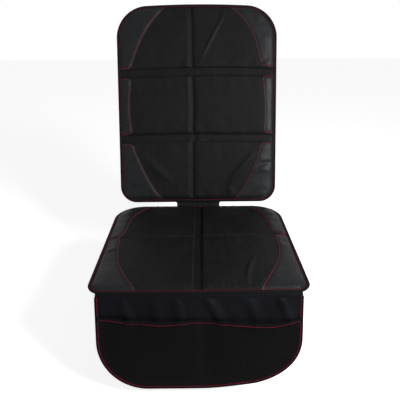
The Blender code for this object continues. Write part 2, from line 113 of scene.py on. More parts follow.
class Panel:
    """A flat panel with rounded corners. Its frame has the given origin and is tilted up about the u axis."""

    def __init__(self, start, end, corners, start_width, bow, origin, tilt):
        self.start, self.end, self.corners = start, end, corners
        self.start_width, self.bow = start_width, bow
        self.matrix = Matrix.Translation(origin) @ Matrix.Rotation(tilt, 4, "X")

    def place(self, s, t):
        """The real (u, v) of points of the sharp-cornered rectangle."""
        s, t = np.broadcast_arrays(np.asarray(s, float), np.asarray(t, float))
        near = t < (self.start + self.end) / 2
        corner = np.where(near, *self.corners)
        across = (np.abs(s) - HALF + corner) / corner
        along = (np.maximum(self.start - t, t - self.end) + corner) / corner
        reach = np.maximum(across, along)
        angle = math.pi / 4 * np.minimum(across, along) / np.maximum(reach, 1e-9)
        angle = np.where(along > across, math.pi / 2 - angle, angle)
        rounded = (across > 0) & (along > 0)
        inset = corner * (1 - reach * np.sin(angle))
        s = np.where(rounded, np.copysign(HALF + corner * (reach * np.cos(angle) - 1), s), s)
        t = np.where(rounded, np.where(near, self.start + inset, self.end - inset), t)
        share = (t - self.start) / (self.end - self.start)
        taper = (self.start_width + (2 * HALF - self.start_width) * share) / (2 * HALF)
        return s * taper, t - self.bow * share * (s / HALF) ** 2

    def edge(self, step=EDGE_STEP):
        """The panel's edge as a closed anticlockwise loop of points, evenly spaced."""
        along = np.linspace(0, 1, 200, endpoint=False)
        low, high = self.start, self.end
        s = np.concatenate([-HALF + 2 * HALF * along, np.full(200, HALF), HALF - 2 * HALF * along, np.full(200, -HALF)])
        t = np.concatenate([np.full(200, low), low + (high - low) * along, np.full(200, high),
                            high - (high - low) * along])
        return spaced(np.stack(self.place(s, t), axis=1), step, closed=True)

    def inset(self, depth, step=EDGE_STEP):
        """The panel's edge, moved inwards by a depth."""
        loop = self.edge(step)
        return loop - sideways(loop, closed=True) * depth


def looped(path):
    """A closed loop's points, with the first one again at the end."""
    return np.vstack([path, path[:1]])


def spaced(path, step, closed=False):
    """The same path with its points about a step apart."""
    path = np.asarray(path, float)
    if closed:
        path = looped(path)
    run = np.concatenate([[0], np.cumsum(np.linalg.norm(np.diff(path, axis=0), axis=1))])
    count = max(round(run[-1] / step), 2)
    at = np.linspace(0, run[-1], count + 1)
    points = np.stack([np.interp(at, run, path[:, i]) for i in range(path.shape[1])], axis=1)
    return points[:-1] if closed else points


def curved(points, step):
    """A smooth path through a few points, by the Catmull-Rom rule, with its points a step apart."""
    points = np.asarray(points, float)
    ends = np.vstack([2 * points[0] - points[1], points, 2 * points[-1] - points[-2]])
    found = []
    for a, b, c, d in zip(ends, ends[1:], ends[2:], ends[3:]):
        for x in np.linspace(0, 1, 12, endpoint=False):
            found.append(b + x * ((c - a) / 2 + x * (a - 2.5 * b + 2 * c - d / 2 + x * (1.5 * (b - c) + (d - a) / 2))))
    return spaced(found + [points[-1]], step)


def sideways(path, closed=False):
    """The unit normal to the right of the way along a path: outwards where a loop runs anticlockwise."""
    if closed:
        along = np.roll(path, -1, axis=0) - np.roll(path, 1, axis=0)
    else:
        along = np.gradient(path, axis=0)
    along /= np.linalg.norm(along, axis=1)[:, None]
    return np.stack([along[:, 1], -along[:, 0]], axis=1)


BACK = Panel(start=0, end=0.590, corners=(0.048, 0.088), start_width=0.470, bow=0.010,
             origin=(0, 0.2345062, 0.0143586), tilt=BACK_LEAN)
SEAT = Panel(start=-0.220, end=0.220, corners=(0.035, 0.080), start_width=0.480, bow=0.0, origin=(0, 0, 0), tilt=0)
print("edge of the back:", len(BACK.edge()), "points, of the seat:", len(SEAT.edge()))

# %% [markdown]
# Small helpers that several steps share: a smooth step, a smooth random wave, the distance to a path, and the maker
# of a plain mesh piece. The random waves are sums of sines with a fixed seed, so they're the same at each run.

# %% Helpers for shapes
def eased(x):
    x = np.clip(x, 0, 1)
    return x * x * (3 - 2 * x)


def ripples(u, v, size, seed, count=9):
    """A smooth random pattern between about -1 and 1, with bumps of about the given size."""
    rng = np.random.default_rng(seed)
    total = 0
    for _ in range(count):
        angle, phase = rng.uniform(0, 2 * math.pi, 2)
        rate = math.pi / size * rng.uniform(0.6, 1.4)
        total = total + np.sin(rate * (u * math.cos(angle) + v * math.sin(angle)) + phase)
    return total * math.sqrt(2 / count) / 2


def nearest_on(u, v, path):
    """How far points lie from a path, and how far along it their nearest point is, from 0 to 1."""
    path = np.asarray(path, float)
    best, where = np.full(np.shape(u), 1e9), np.zeros(np.shape(u))
    for i, (a, b) in enumerate(zip(path, path[1:])):
        side = b - a
        share = np.clip(((u - a[0]) * side[0] + (v - a[1]) * side[1]) / (side @ side), 0, 1)
        gap = np.hypot(u - a[0] - share * side[0], v - a[1] - share * side[1])
        nearer = gap < best
        best, where = np.where(nearer, gap, best), np.where(nearer, (i + share) / (len(path) - 1), where)
    return best, where


def distance_to(u, v, path):
    return nearest_on(u, v, path)[0]


def inside(u, v, outline):
    """Whether points lie inside a closed outline."""
    found = np.zeros(np.shape(u), bool)
    for (ax, ay), (bx, by) in zip(outline, np.roll(outline, -1, axis=0)):
        if ay != by:
            crosses = (ay > v) != (by > v)
            found ^= crosses & (u < (bx - ax) * (v - ay) / (by - ay) + ax)
    return found


def on_root(name, data):
    """An object that rides on the part's one body."""
    piece = add_object(name, data)
    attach(piece, "root")
    return piece


def new_piece(name, points, faces, material, matrix=None, uvs=None):
    """A mesh piece at the origin. The matrix takes its points from a panel's flat layout to their place."""
    data = bpy.data.meshes.new(name)
    data.from_pydata([tuple(map(float, p)) for p in points], [], [tuple(map(int, f)) for f in faces])
    if uvs is not None:
        loops = np.zeros(len(data.loops), int)
        data.loops.foreach_get("vertex_index", loops)
        layer = data.uv_layers.new(name="cloth")
        layer.data.foreach_set("uv", np.asarray(uvs, np.float32)[loops].ravel())
    if matrix is not None:
        data.transform(matrix)
    data.shade_smooth()
    data.materials.append(material)
    data.update()
    return on_root(name, data)


def grid_faces(rows, columns):
    """Quads of a grid of points, numbered row by row."""
    starts = [i * columns + k for i in range(rows - 1) for k in range(columns - 1)]
    return [(a, a + 1, a + 1 + columns, a + columns) for a in starts]


def rim_of(rows, columns):
    """The numbers of a grid's outer points, in a loop."""
    index = np.arange(rows * columns).reshape(rows, columns)
    return np.concatenate([index[0, :-1], index[:-1, -1], index[-1, :0:-1], index[:0:-1, 0]])


# %% [markdown]
# Materials. Every finish here is dark, so what tells them apart is how the light glances off them. Oxford cloth and
# tape are woven, leather has a pebbled grain in two sizes, and each pattern is used more than once, so each is a node
# group with its own inputs. A picture of real cloth could be used instead, but a pattern made of nodes stays sharp
# at any distance and has no edges. The groups give only heights and masks. The shader stays in each material.

# %% Helpers for node trees
def add_node(tree, kind, settings=None, **inputs):
    """Adds a node. Settings are its own properties. Inputs are values or the sockets that feed it."""
    node = tree.nodes.new(kind)
    for name, value in (settings or {}).items():
        setattr(node, name, value)
    for name, value in inputs.items():
        key = int(name[1:]) if name[0] == "_" and name[1:].isdigit() else name.replace("_", " ")
        socket = node.inputs[key]
        if isinstance(value, bpy.types.NodeSocket):
            tree.links.new(value, socket)
        else:
            socket.default_value = value
    return node


def join(tree, inputs, **sources):
    """Feeds named inputs from sockets."""
    for name, source in sources.items():
        tree.links.new(source, inputs[name.replace("_", " ")])


def calculate(tree, operation, a, b=0.0, c=0.0):
    return add_node(tree, "ShaderNodeMath", {"operation": operation}, _0=a, _1=b, _2=c).outputs[0]


def vectors(tree, operation, **inputs):
    return add_node(tree, "ShaderNodeVectorMath", {"operation": operation}, **inputs).outputs[0]


def map_range(tree, value, low=0.0, high=1.0, to_low=0.0, to_high=1.0, kind="LINEAR"):
    return add_node(tree, "ShaderNodeMapRange", {"interpolation_type": kind}, Value=value, From_Min=low, From_Max=high,
                    To_Min=to_low, To_Max=to_high).outputs[0]


def noise(tree, where, scale, detail):
    return add_node(tree, "ShaderNodeTexNoise", Vector=where, Scale=scale, Detail=detail).outputs["Fac"]


def new_tree(name, kind, inputs, outputs, form):
    """An empty node group with named inputs, each with its form and value, and with named outputs of one form."""
    tree = bpy.data.node_groups.new(name, kind + "NodeTree")
    for label, socket_form, value in inputs:
        socket = tree.interface.new_socket(label, in_out="INPUT", socket_type="NodeSocket" + socket_form)
        if value is not None:
            socket.default_value = value
    for label in outputs:
        tree.interface.new_socket(label, in_out="OUTPUT", socket_type="NodeSocket" + form)
    return tree, tree.nodes.new("NodeGroupInput").outputs, tree.nodes.new("NodeGroupOutput").inputs


def pattern_tree(name, inputs, outputs):
    return new_tree(name, "Shader", [("Vector", "Vector", None), *inputs], outputs, "Float")


# %% The weave of cloth and tape
def make_weave():
    """Threads that pass over and under each other. Height is how far a thread stands out; Thread is its own tone."""
    tree, given, gives = pattern_tree("weave", [("Pitch", "Float", 0.0007), ("Rib", "Float", 0.0)],
                                      ["Height", "Thread"])
    scaled = vectors(tree, "DIVIDE", _0=given["Vector"], _1=given["Pitch"])
    across, along, _ = add_node(tree, "ShaderNodeSeparateXYZ", _0=scaled).outputs
    warp, weft = (calculate(tree, "ABSOLUTE", calculate(tree, "SINE", calculate(tree, "MULTIPLY", way, math.pi)))
                  for way in (across, along))
    cells = calculate(tree, "ADD", calculate(tree, "FLOOR", across), calculate(tree, "FLOOR", along))
    over = calculate(tree, "ABSOLUTE", calculate(tree, "MODULO", cells, 2.0))
    woven = calculate(tree, "ADD", calculate(tree, "MULTIPLY", warp, over),
                      calculate(tree, "MULTIPLY", weft, calculate(tree, "SUBTRACT", 1.0, over)))
    ribbed = add_node(tree, "ShaderNodeMix", {"data_type": "FLOAT"}, _0=given["Rib"], _2=woven, _3=warp)
    tone = add_node(tree, "ShaderNodeTexWhiteNoise", {"noise_dimensions": "1D"}, W=calculate(tree, "FLOOR", across))
    join(tree, gives, Height=ribbed.outputs[0], Thread=tone.outputs["Value"])
    return tree


# %% The grain of leather
def make_grain():
    """Pebbles with creases between them. Size is how wide a pebble is."""
    tree, given, gives = pattern_tree("leather_grain", [("Size", "Float", 0.002)], ["Height", "Crease", "Tone"])
    scaled = vectors(tree, "DIVIDE", _0=given["Vector"], _1=given["Size"])
    drift = add_node(tree, "ShaderNodeTexNoise", Vector=scaled, Scale=0.6, Detail=2.0)
    bent = vectors(tree, "MULTIPLY_ADD", _0=drift.outputs["Color"], _1=(0.9, 0.9, 0.9), _2=scaled)
    cells = add_node(tree, "ShaderNodeTexVoronoi", {"feature": "DISTANCE_TO_EDGE"}, Vector=bent, Scale=1.0)
    from_side = cells.outputs["Distance"]
    join(tree, gives, Height=map_range(tree, from_side, 0.0, 0.28, kind="SMOOTHSTEP"),
         Crease=map_range(tree, from_side, 0.0, 0.12, 1.0, 0.0), Tone=noise(tree, scaled, 0.12, 3.0))
    return tree


# %% Lint and uneven dye
def make_lint():
    """Uneven dye over a hand's breadth, and pale specks of lint."""
    tree, given, gives = pattern_tree("lint", [("Amount", "Float", 0.3)], ["Dye", "Lint"])
    lint = map_range(tree, noise(tree, given["Vector"], 900.0, 2.0), 0.66, 0.78)
    join(tree, gives, Dye=noise(tree, given["Vector"], 14.0, 4.0),
         Lint=calculate(tree, "MULTIPLY", lint, given["Amount"]))
    return tree


WEAVE, GRAIN, LINT = make_weave(), make_grain(), make_lint()
print("node groups:", [group.name for group in (WEAVE, GRAIN, LINT)])


# %% Helpers for materials
def new_material(name, roughness, specular, sheen=0.0, coat=0.0, coat_roughness=0.03):
    """A material with a Principled shader. Numbers that are the same all over are set on its own sockets."""
    material = bpy.data.materials.new(name)
    material.use_nodes = True
    tree = material.node_tree
    shader = tree.nodes["Principled BSDF"].inputs
    for socket, value in {"Roughness": roughness, "Specular IOR Level": specular, "Sheen Weight": sheen,
                          "Sheen Roughness": 0.45, "Coat Weight": coat, "Coat Roughness": coat_roughness}.items():
        shader[socket].default_value = value
    return material, tree, shader


def use_group(tree, group, **inputs):
    return add_node(tree, "ShaderNodeGroup", {"node_tree": group}, **inputs).outputs


def blend_colours(tree, share, first, second):
    first, second = ((*colour, 1) if isinstance(colour, tuple) else colour for colour in (first, second))
    return add_node(tree, "ShaderNodeMix", {"data_type": "RGBA"}, _0=share, _6=first, _7=second).outputs[2]


def bump(tree, height, depth, below=None):
    under = {} if below is None else {"Normal": below}
    return add_node(tree, "ShaderNodeBump", Height=height, Strength=1.0, Distance=depth, **under).outputs[0]


# %% Woven finishes
# Painted shade: the near-black given to the cloth behind the pocket net, and how far it takes to fade in.
NET_SHADE_COLOUR = (0.0016, 0.0016, 0.0020)
LINT_COLOUR = (0.09, 0.085, 0.08)
LINT_AMOUNT = 0.35
NET_SHADE_FADE = 0.008
ROUGHNESS_SPREAD = 0.07


def woven_material(name, dark, light, pitch, roughness, specular, sheen=0.0, rib=0.0, depth=0.00012, soft=0.0,
                   coordinates="UV", turn=0.0, net_shade_below=None, coat=0.0):
    """Woven cloth or tape: threads at a pitch, uneven dye, lint, and soft rumples of the given depth. Below a given
    line the colour fades to a painted shade, the pocket net's shade on the cloth behind it. A coat is the film that
    proofs Oxford cloth."""
    material, tree, shader = new_material(name, roughness, specular, sheen, coat, coat_roughness=0.42)
    where = add_node(tree, "ShaderNodeTexCoord").outputs[coordinates]
    if turn:
        where = add_node(tree, "ShaderNodeMapping", Vector=where, Rotation=(turn, 0, 0)).outputs[0]
    weave = use_group(tree, WEAVE, Vector=where, Pitch=pitch, Rib=rib)
    lint = use_group(tree, LINT, Vector=where, Amount=LINT_AMOUNT)
    spread = calculate(tree, "MULTIPLY_ADD", weave["Thread"], 0.35, lint["Dye"])
    colour = blend_colours(tree, map_range(tree, spread, 0.35, 1.0), dark, light)
    # Painted shade: below the line the colour fades to a near-black, for the shade that the pocket net casts.
    if net_shade_below is not None:
        up = add_node(tree, "ShaderNodeSeparateXYZ", _0=where).outputs["Y"]
        colour = blend_colours(tree, map_range(tree, up, net_shade_below - NET_SHADE_FADE, net_shade_below), NET_SHADE_COLOUR, colour)
    rough = map_range(tree, lint["Dye"], 0.3, 0.7, roughness - ROUGHNESS_SPREAD, roughness + ROUGHNESS_SPREAD)
    normal = bump(tree, noise(tree, where, 70.0, 3.0), soft) if soft else None
    join(tree, shader, Base_Color=blend_colours(tree, lint["Lint"], colour, LINT_COLOUR), Roughness=rough,
         Normal=bump(tree, weave["Height"], depth, normal))
    return material


# The tape is two copies of one material: a darker one for the flap and the hem, painted with the shade the flap lies
# in, and a lighter one for the panels' binding, painted with the light that falls on them.
RIBBED = {"pitch": 0.0009, "roughness": 0.62, "specular": 0.03, "rib": 0.75, "depth": 0.0002}
OXFORD = woven_material("black_oxford", (0.0069, 0.0066, 0.0071), (0.0112, 0.0108, 0.0116), pitch=0.0007,
                        roughness=0.46, specular=0.025, soft=0.0020, coat=0.05)
SHADED_TAPE = woven_material("shaded_ribbed_tape", (0.0026, 0.0026, 0.0028), (0.0060, 0.0059, 0.0062), **RIBBED)
LIT_TAPE = woven_material("lit_panel_tape", (0.0048, 0.0050, 0.0049), (0.0110, 0.0114, 0.0112), **RIBBED)
# Below the pocket's mouth the flap cloth is given painted shade, for the shade behind the net.
FLAP_CLOTH = woven_material("smooth_flap_cloth", (0.0030, 0.0031, 0.0044), (0.0060, 0.0063, 0.0088), pitch=0.0005,
                            roughness=0.42, specular=0.035, depth=0.00006, soft=0.0012, net_shade_below=-0.062)
SEAT_BACKING, BACK_BACKING = (
    woven_material(name, (0.012, 0.012, 0.013), (0.021, 0.021, 0.022), pitch=0.0012, roughness=0.82, specular=0.08,
                   sheen=0.05, coordinates="Object", turn=turn)
    for name, turn in (("seat_backing", 0.0), ("back_backing", -BACK_LEAN)))
print("woven finishes:", [m.name for m in (OXFORD, SHADED_TAPE, LIT_TAPE, FLAP_CLOTH, SEAT_BACKING, BACK_BACKING)])


# %% Leather and thread
def leather_material():
    """Dark grey imitation leather: shiny pebbles, dull creases, a thin clear top coat, and a lip painted lighter as a
    highlight.
    """
    material, tree, shader = new_material("pebbled_leather", roughness=0.40, specular=0.03, coat=0.20,
                                          coat_roughness=0.36)
    where = add_node(tree, "ShaderNodeTexCoord").outputs["UV"]
    coarse = use_group(tree, GRAIN, Vector=where, Size=0.0030)
    fine = use_group(tree, GRAIN, Vector=where, Size=0.0009)
    lip = add_node(tree, "ShaderNodeAttribute", {"attribute_name": "lip"}).outputs["Fac"]
    base = blend_colours(tree, coarse["Tone"], (0.0045, 0.0049, 0.0058), (0.0205, 0.0219, 0.0249))
    # Painted highlight: the lip outside the seam is made lighter, as where it catches the light.
    lit_lip = blend_colours(tree, lip, base, (0.030, 0.0315, 0.035))
    join(tree, shader, Base_Color=blend_colours(tree, coarse["Crease"], lit_lip, (0.0020, 0.0022, 0.0025)),
         Roughness=map_range(tree, coarse["Height"], to_low=0.60, to_high=0.34),
         Normal=bump(tree, fine["Height"], 0.00012, bump(tree, coarse["Height"], 0.0008)),
         Coat_Normal=bump(tree, coarse["Height"], 0.00012))
    return material


def thread_material(name, dark, light, roughness):
    """Twisted thread: fine slanting strands."""
    material, tree, shader = new_material(name, roughness, specular=0.06)
    where = add_node(tree, "ShaderNodeTexCoord").outputs["Object"]
    strands = add_node(tree, "ShaderNodeTexWave", Vector=where, Scale=900.0, Distortion=1.5, Detail=1.0)
    half_shade = calculate(tree, "MULTIPLY", noise(tree, where, 60.0, 2.0), 0.5)
    mixed = calculate(tree, "MULTIPLY_ADD", strands.outputs["Fac"], 0.5, half_shade)
    join(tree, shader, Base_Color=blend_colours(tree, mixed, dark, light),
         Normal=bump(tree, strands.outputs["Fac"], 0.0001))
    return material


LEATHER = leather_material()
RED_THREAD = thread_material("red_thread", (0.20, 0.008, 0.026), (0.40, 0.018, 0.052), 0.55)
BLACK_THREAD = thread_material("black_thread", (0.004, 0.004, 0.004), (0.010, 0.010, 0.010), 0.60)
NET_CORD = thread_material("net_cord", (0.0060, 0.0058, 0.0059), (0.0165, 0.0159, 0.0162), 0.50)
RUBBER = thread_material("rubber_dots", (0.010, 0.010, 0.010), (0.020, 0.020, 0.020), 0.70)
print("other finishes:", [m.name for m in (LEATHER, RED_THREAD, BLACK_THREAD, NET_CORD, RUBBER)])

# %% [markdown]
# The quilted cover is one sheet of Oxford cloth over flat foam pads, sewn down along channels. Moulding it by hand
# would give pads like pillows in a drawing. Instead the sheet is simulated as cloth: it is held along its seams, is
# cut a little too large, and pressure from below fills it until it settles. What comes out has the small pulls and
# puckers of real sewing. The foam keeps a pad from rising like a balloon, so the height is then held to the pads'.

# %% Seams and channels of the two quilts
LOW_FACE = 0.0026
PAD_RISE = 0.0072
TAPE_COVER = 0.0068
SIDE_ROLL = 0.030
END_ROLL = 0.015


class Quilt:
    """Where a panel's seams run. Each seam is listed as its first and last line, how far the padding takes to rise
    before and after them, how straight the slope before them is, and how much higher the channel's first line lies."""

    def __init__(self, panel, columns, rows, side_drift, row_drift):
        self.panel, self.columns, self.rows = panel, columns, rows
        self.side_drift, self.row_drift = side_drift, row_drift

    def lines(self, seams, low, high, step=0.005):
        """Grid lines from low to high that hit every seam."""
        stops = sorted({low, high, low + TAPE_COVER, high - TAPE_COVER, *(x for seam in seams for x in seam[:2])})
        found = [low]
        for a, b in zip(stops, stops[1:]):
            found += list(np.linspace(a, b, max(round((b - a) / step), 1) + 1)[1:])
        return np.array(found)

    def rise(self, x, seams, low, high, edge):
        """The padding's share of its height beside the seams that cross one direction."""
        share = arch((x - low - TAPE_COVER) / edge) * arch((high - TAPE_COVER - x) / edge)
        for first, last, before, after, slant, _ in seams:
            climb = np.clip((first - x) / before, 0, 1)
            share = share * ((1 - slant) * arch(climb) + slant * climb + arch((x - last) / after))
        return share

    def floors(self, x, seams):
        """The height of the channels' sloping floors."""
        total = 0
        for first, last, before, _, _, higher in seams:
            if higher:
                total = total + higher * np.clip((last - x) / (last - first), 0, 1) * (1 - arch((first - x) / before))
        return total

    def profile(self, s, t):
        across = self.rise(s, self.columns, -HALF, HALF, SIDE_ROLL)
        return across * self.rise(t, self.rows, self.panel.start, self.panel.end, END_ROLL)

    def drifted(self, s, t):
        """The seams of the real mat wander a little, and everything between the panel's edges goes with them."""
        return s + self.side_drift(t) * (1 - (s / HALF) ** 2), t + self.row_drift(s, t)


def arch(x):
    """Rises from 0 to 1 like a quarter of a circle."""
    x = np.clip(x, 0, 1)
    return np.sqrt(1 - (1 - x) ** 2)


def near(t, centre, width):
    """1 at the centre, and fading out over the width."""
    return np.exp(-((t - centre) / width) ** 2)


def back_row_drift(s, t):
    return (0.0015 + 0.002 * s / HALF) * near(t, 0.391, 0.06) + 0.001 * near(t, 0.193, 0.06)


def seat_row_drift(s, t):
    return (0.004 + 0.008 * np.clip(s / HALF, -1, 1)) * near(t, 0.016, 0.09)


BACK_QUILT = Quilt(BACK, [(0.0, 0.0, 0.0150, 0.0150, 0.5, 0)],
                   [(0.1825, 0.2035, 0.0060, 0.0140, 0, 0.0030), (0.3805, 0.4015, 0.0060, 0.0065, 0, 0.0010)],
                   lambda t: np.interp(t, (0, 0.19, 0.30, 0.59), (-0.0150, -0.0145, -0.0120, -0.0165)), back_row_drift)
SEAT_QUILT = Quilt(SEAT, [(-0.0095, 0.0095, 0.0050, 0.0050, 0, 0)], [(0.016, 0.016, 0.0050, 0.0050, 0, 0)],
                   lambda t: np.interp(t, (-0.22, 0, 0.22), (-0.0020, -0.0010, 0.0025)), seat_row_drift)


# %% Cloth simulation
FRAMES = 20
PRESSURE = 4.0
EXTRA_CLOTH = 0.03
START_SHARE = 0.35


def blown_up(quilt, s, t):
    """Fills the sheet under pressure, held along its seams, and gives how high each point comes to lie."""
    share = quilt.profile(s, t)
    points = np.stack([s, t, PAD_RISE * START_SHARE * share], axis=-1).reshape(-1, 3)
    data = bpy.data.meshes.new("filled")
    data.from_pydata(points.tolist(), [], grid_faces(*s.shape))
    sheet = add_object("filled", data)
    held = sheet.vertex_groups.new(name="held")
    held.add([int(i) for i in np.flatnonzero(share.ravel() < 1e-6)], 1.0, "REPLACE")
    cloth = sheet.modifiers.new("cloth", "CLOTH")
    fabric = cloth.settings
    fabric.quality = 5
    fabric.mass = 0.25
    fabric.tension_stiffness = fabric.compression_stiffness = 12
    fabric.shear_stiffness = 4
    fabric.bending_stiffness = 0.6
    fabric.air_damping = 3
    fabric.shrink_min = fabric.shrink_max = -EXTRA_CLOTH
    fabric.vertex_group_mass = "held"
    fabric.use_pressure = True
    fabric.uniform_pressure_force = PRESSURE
    fabric.effector_weights.gravity = 0
    cloth.collision_settings.use_collision = False
    cloth.point_cache.frame_start, cloth.point_cache.frame_end = 1, FRAMES
    scene = bpy.context.scene
    for number in range(1, FRAMES + 1):
        scene.frame_set(number)
    settled = sheet.evaluated_get(bpy.context.evaluated_depsgraph_get()).to_mesh()
    found = np.zeros(points.size)
    settled.vertices.foreach_get("co", found)
    bpy.data.objects.remove(sheet)
    scene.frame_set(1)
    return found.reshape(*s.shape, 3)[..., 2]


# %% [markdown]
# The grid from the simulation is coarse, so it is made twice as fine by a rule that keeps curves smooth. Part of its
# small pulls is kept and its balloon shape is mostly dropped. Then come the folds that this mat has from being packed:
# straight creases over the pads, soft arcs beside the leather, and tight puckers where two channels cross and along
# the front edge. Each is a path with a height and a width, because folds like these have a cause, and noise has none.

# %% Helpers for surfaces
def softened(values, reach):
    """Values averaged over a square of neighbours, a reach to each side."""
    around = np.pad(values, reach, mode="edge")
    rows, columns = values.shape
    width = 2 * reach + 1
    return sum(around[i:i + rows, j:j + columns] for i in range(width) for j in range(width)) / width**2


def finer(values):
    """A grid with a new line between each two, placed by the four-point rule."""
    for axis in (0, 1):
        lines = np.moveaxis(values, axis, 0)
        between = (lines[:-1] + lines[1:]) / 2
        between[1:-1] = (9 * (lines[1:-2] + lines[2:-1]) - lines[:-3] - lines[3:]) / 16
        woven = np.empty((2 * len(lines) - 1, *lines.shape[1:]))
        woven[::2], woven[1::2] = lines, between
        values = np.moveaxis(woven, 0, axis)
    return values


def folds(u, v, listed):
    """The height that folds add. Each is listed as its path, height and width, all in millimetres."""
    total = np.zeros(np.shape(u))
    for path, height, width in listed:
        gap, where = nearest_on(u, v, curved(np.array(path) / 1000, 0.004))
        total += height / 1000 * np.exp(-((gap * 1000 / width) ** 2)) * (0.25 + 0.75 * np.sin(math.pi * where))
    return total


class Surface:
    """The finished top of a piece in a panel's flat layout, on which other pieces are laid."""

    def __init__(self, points):
        self.tree = BVHTree.FromPolygons(points.reshape(-1, 3).tolist(), grid_faces(*points.shape[:2]))

    def height(self, u, v):
        found = []
        for x, y in zip(np.ravel(u).tolist(), np.ravel(v).tolist()):
            hit = self.tree.ray_cast((x, y, 0.1), (0, 0, -1))[0] or self.tree.find_nearest((x, y, LOW_FACE))[0]
            found.append(hit.z)
        return np.reshape(found, np.shape(u))


def closed_down(points, floor):
    """Points and faces of a solid: a grid on top, a wall down from its edge, and a flat face below."""
    rim = rim_of(*points.shape[:2])
    flat = points.reshape(-1, 3)
    low = flat[rim]
    low[:, 2] = floor
    start, count = len(flat), len(rim)
    faces = grid_faces(*points.shape[:2])
    faces += [(rim[i], start + i, start + (i + 1) % count, rim[(i + 1) % count]) for i in range(count)]
    faces.append(tuple(range(start + count - 1, start - 1, -1)))
    return np.vstack([flat, low]), faces


# %% The two quilted covers
QUILT_FLOOR = 0.0021
DEEPEST = 0.0024
CROWN = 0.0012
PULL_SHARE = 0.30
PULL_LIMIT = 0.0011
FREE_OF_TAPE = 0.006
RUMPLE_HEIGHT = 0.0004
RUMPLE_SIZE = 0.055

BACK_FOLDS = [
    ([(88, 574), (49, 499), (6, 418)], 2.6, 4.5),
    ([(-166, 142), (-136, 108), (-105, 81), (-83, 65)], 4.6, 12),
    ([(171, 147), (140, 113), (106, 71), (96, 44), (102, 25)], 5.6, 9),
    ([(179, 106), (194, 114), (213, 118), (229, 116)], -3.2, 5),
    ([(183, 93), (206, 97), (225, 89)], 2.4, 8),
    ([(-224, 109), (-208, 114), (-193, 120)], -3.0, 5),
    ([(-226, 90), (-210, 98), (-196, 104)], 1.4, 6),
    ([(-224, 74), (-194, 58), (-167, 54)], 2.2, 9),
    ([(-226, 48), (-214, 24), (-190, 12)], 1.2, 5),
    ([(2, 197), (5, 190), (0, 181)], 3.2, 4.5),
    ([(13, 194), (14, 186), (10, 176)], 2.4, 4),
    ([(-9, 204), (-11, 192), (-8, 178)], -1.5, 4),
    ([(-24, 196), (-23, 186)], 1.8, 4),
    ([(-4, 398), (2, 388)], 1.6, 4),
    ([(-28, 374), (-28, 330), (-27, 270), (-28, 212)], 1.6, 2.6),
    ([(-30, 572), (-29, 500), (-28, 410)], 1.5, 2.8),
    ([(-24, 176), (-24, 120), (-26, 40)], 1.0, 2.6),
]
SEAT_FOLDS = [
    ([(-16, 8), (-16, -90), (-17, -196)], 1.5, 3.0),
    ([(-14, 24), (-14, 90), (-14, 196)], 1.1, 3.0),
    ([(135, -89), (119, -124), (110, -160), (106, -194), (106, -212)], 2.6, 5.5),
    ([(-59, -174), (-63, -190), (-62, -207)], 1.3, 5),
    ([(126, -210), (159, -155), (176, -125)], 1.3, 3),
    ([(-232, -76), (-215, -62), (-194, -60)], -1.6, 4),
    ([(-230, -64), (-214, -50), (-200, -50)], 1.0, 6),
    ([(206, -6), (214, -16), (230, -20)], -1.2, 5),
    ([(-8, 14), (2, 5)], 2.0, 4),
    *(([(place - 5, -196), (place + 4, -213)], 1.5, 3) for place in (22, 36, 50, 63, 79, 92, 122, -92, -128)),
]


def quilted_points(quilt, listed, seed):
    """The top of a quilt in its panel's flat layout."""
    panel = quilt.panel
    s, t = np.meshgrid(quilt.lines(quilt.columns, -HALF, HALF), quilt.lines(quilt.rows, panel.start, panel.end))
    risen = softened(blown_up(quilt, s, t), reach=1)
    dome = softened(risen, reach=4)
    fine = finer(np.stack([s, t, dome / dome.max(), risen - dome], axis=-1))
    s, t, dome, pull = (fine[..., i] for i in range(4))
    share = quilt.profile(s, t)
    rim = np.minimum(HALF - np.abs(s), np.minimum(t - panel.start, panel.end - t))
    free = eased((rim - TAPE_COVER) / FREE_OF_TAPE)
    u, v = panel.place(*quilt.drifted(s, t))
    w = LOW_FACE + share * (PAD_RISE + CROWN * dome)
    w += free * quilt.floors(t, quilt.rows) * quilt.rise(s, (), -HALF, HALF, SIDE_ROLL)
    w += free * PULL_LIMIT * np.tanh(PULL_SHARE * pull / PULL_LIMIT) * np.sqrt(share)
    w += free * (folds(u, v, listed) + RUMPLE_HEIGHT * ripples(u, v, RUMPLE_SIZE, seed))
    print("pulls of the cloth up to", round(float(np.abs(pull).max()) * 1000, 1), "mm, top at",
          round(float(w.max()) * 1000, 1), "mm")
    return np.stack([u, v, np.maximum(w, DEEPEST * free + LOW_FACE * (1 - free))], axis=-1)


def make_quilt(name, quilt, points, replaced):
    mesh_points, faces = closed_down(points, QUILT_FLOOR)
    piece = new_piece(name, mesh_points, faces, OXFORD, quilt.panel.matrix, mesh_points[:, :2])
    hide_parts(*replaced)
    print(name, "has", len(mesh_points), "points")
    return piece


back_points = quilted_points(BACK_QUILT, BACK_FOLDS, 3)
seat_points = quilted_points(SEAT_QUILT, SEAT_FOLDS, 4)
back_quilt = make_quilt("back_quilt", BACK_QUILT, back_points, ["back_cover"] + [
    f"back_foam_{row}_{side}" for row in ("foot", "middle", "top") for side in ("left", "right")])
seat_quilt = make_quilt("seat_quilt", SEAT_QUILT, seat_points, ["seat_cover"] + [
    f"seat_foam_{row}_{side}" for row in ("front", "rear") for side in ("left", "right")])
BACK_TOP, SEAT_TOP = Surface(back_points), Surface(seat_points)

# %% [markdown]
# The leather patches are cut to shape and sewn onto the cover before it is quilted. A red seam runs just inside each
# patch's free edge, and the thin foam behind the leather makes it stand up on both sides of that seam: a narrow lip
# outside and a fuller field inside. The seam's path is what was read from the picture. The cut edge is the same path
# moved outwards, and the rest of the outline runs under the binding. The mesh is a Delaunay triangulation with rings
# of points along the lip, so that the lip and the dip of the seam are real shape and not only shading.

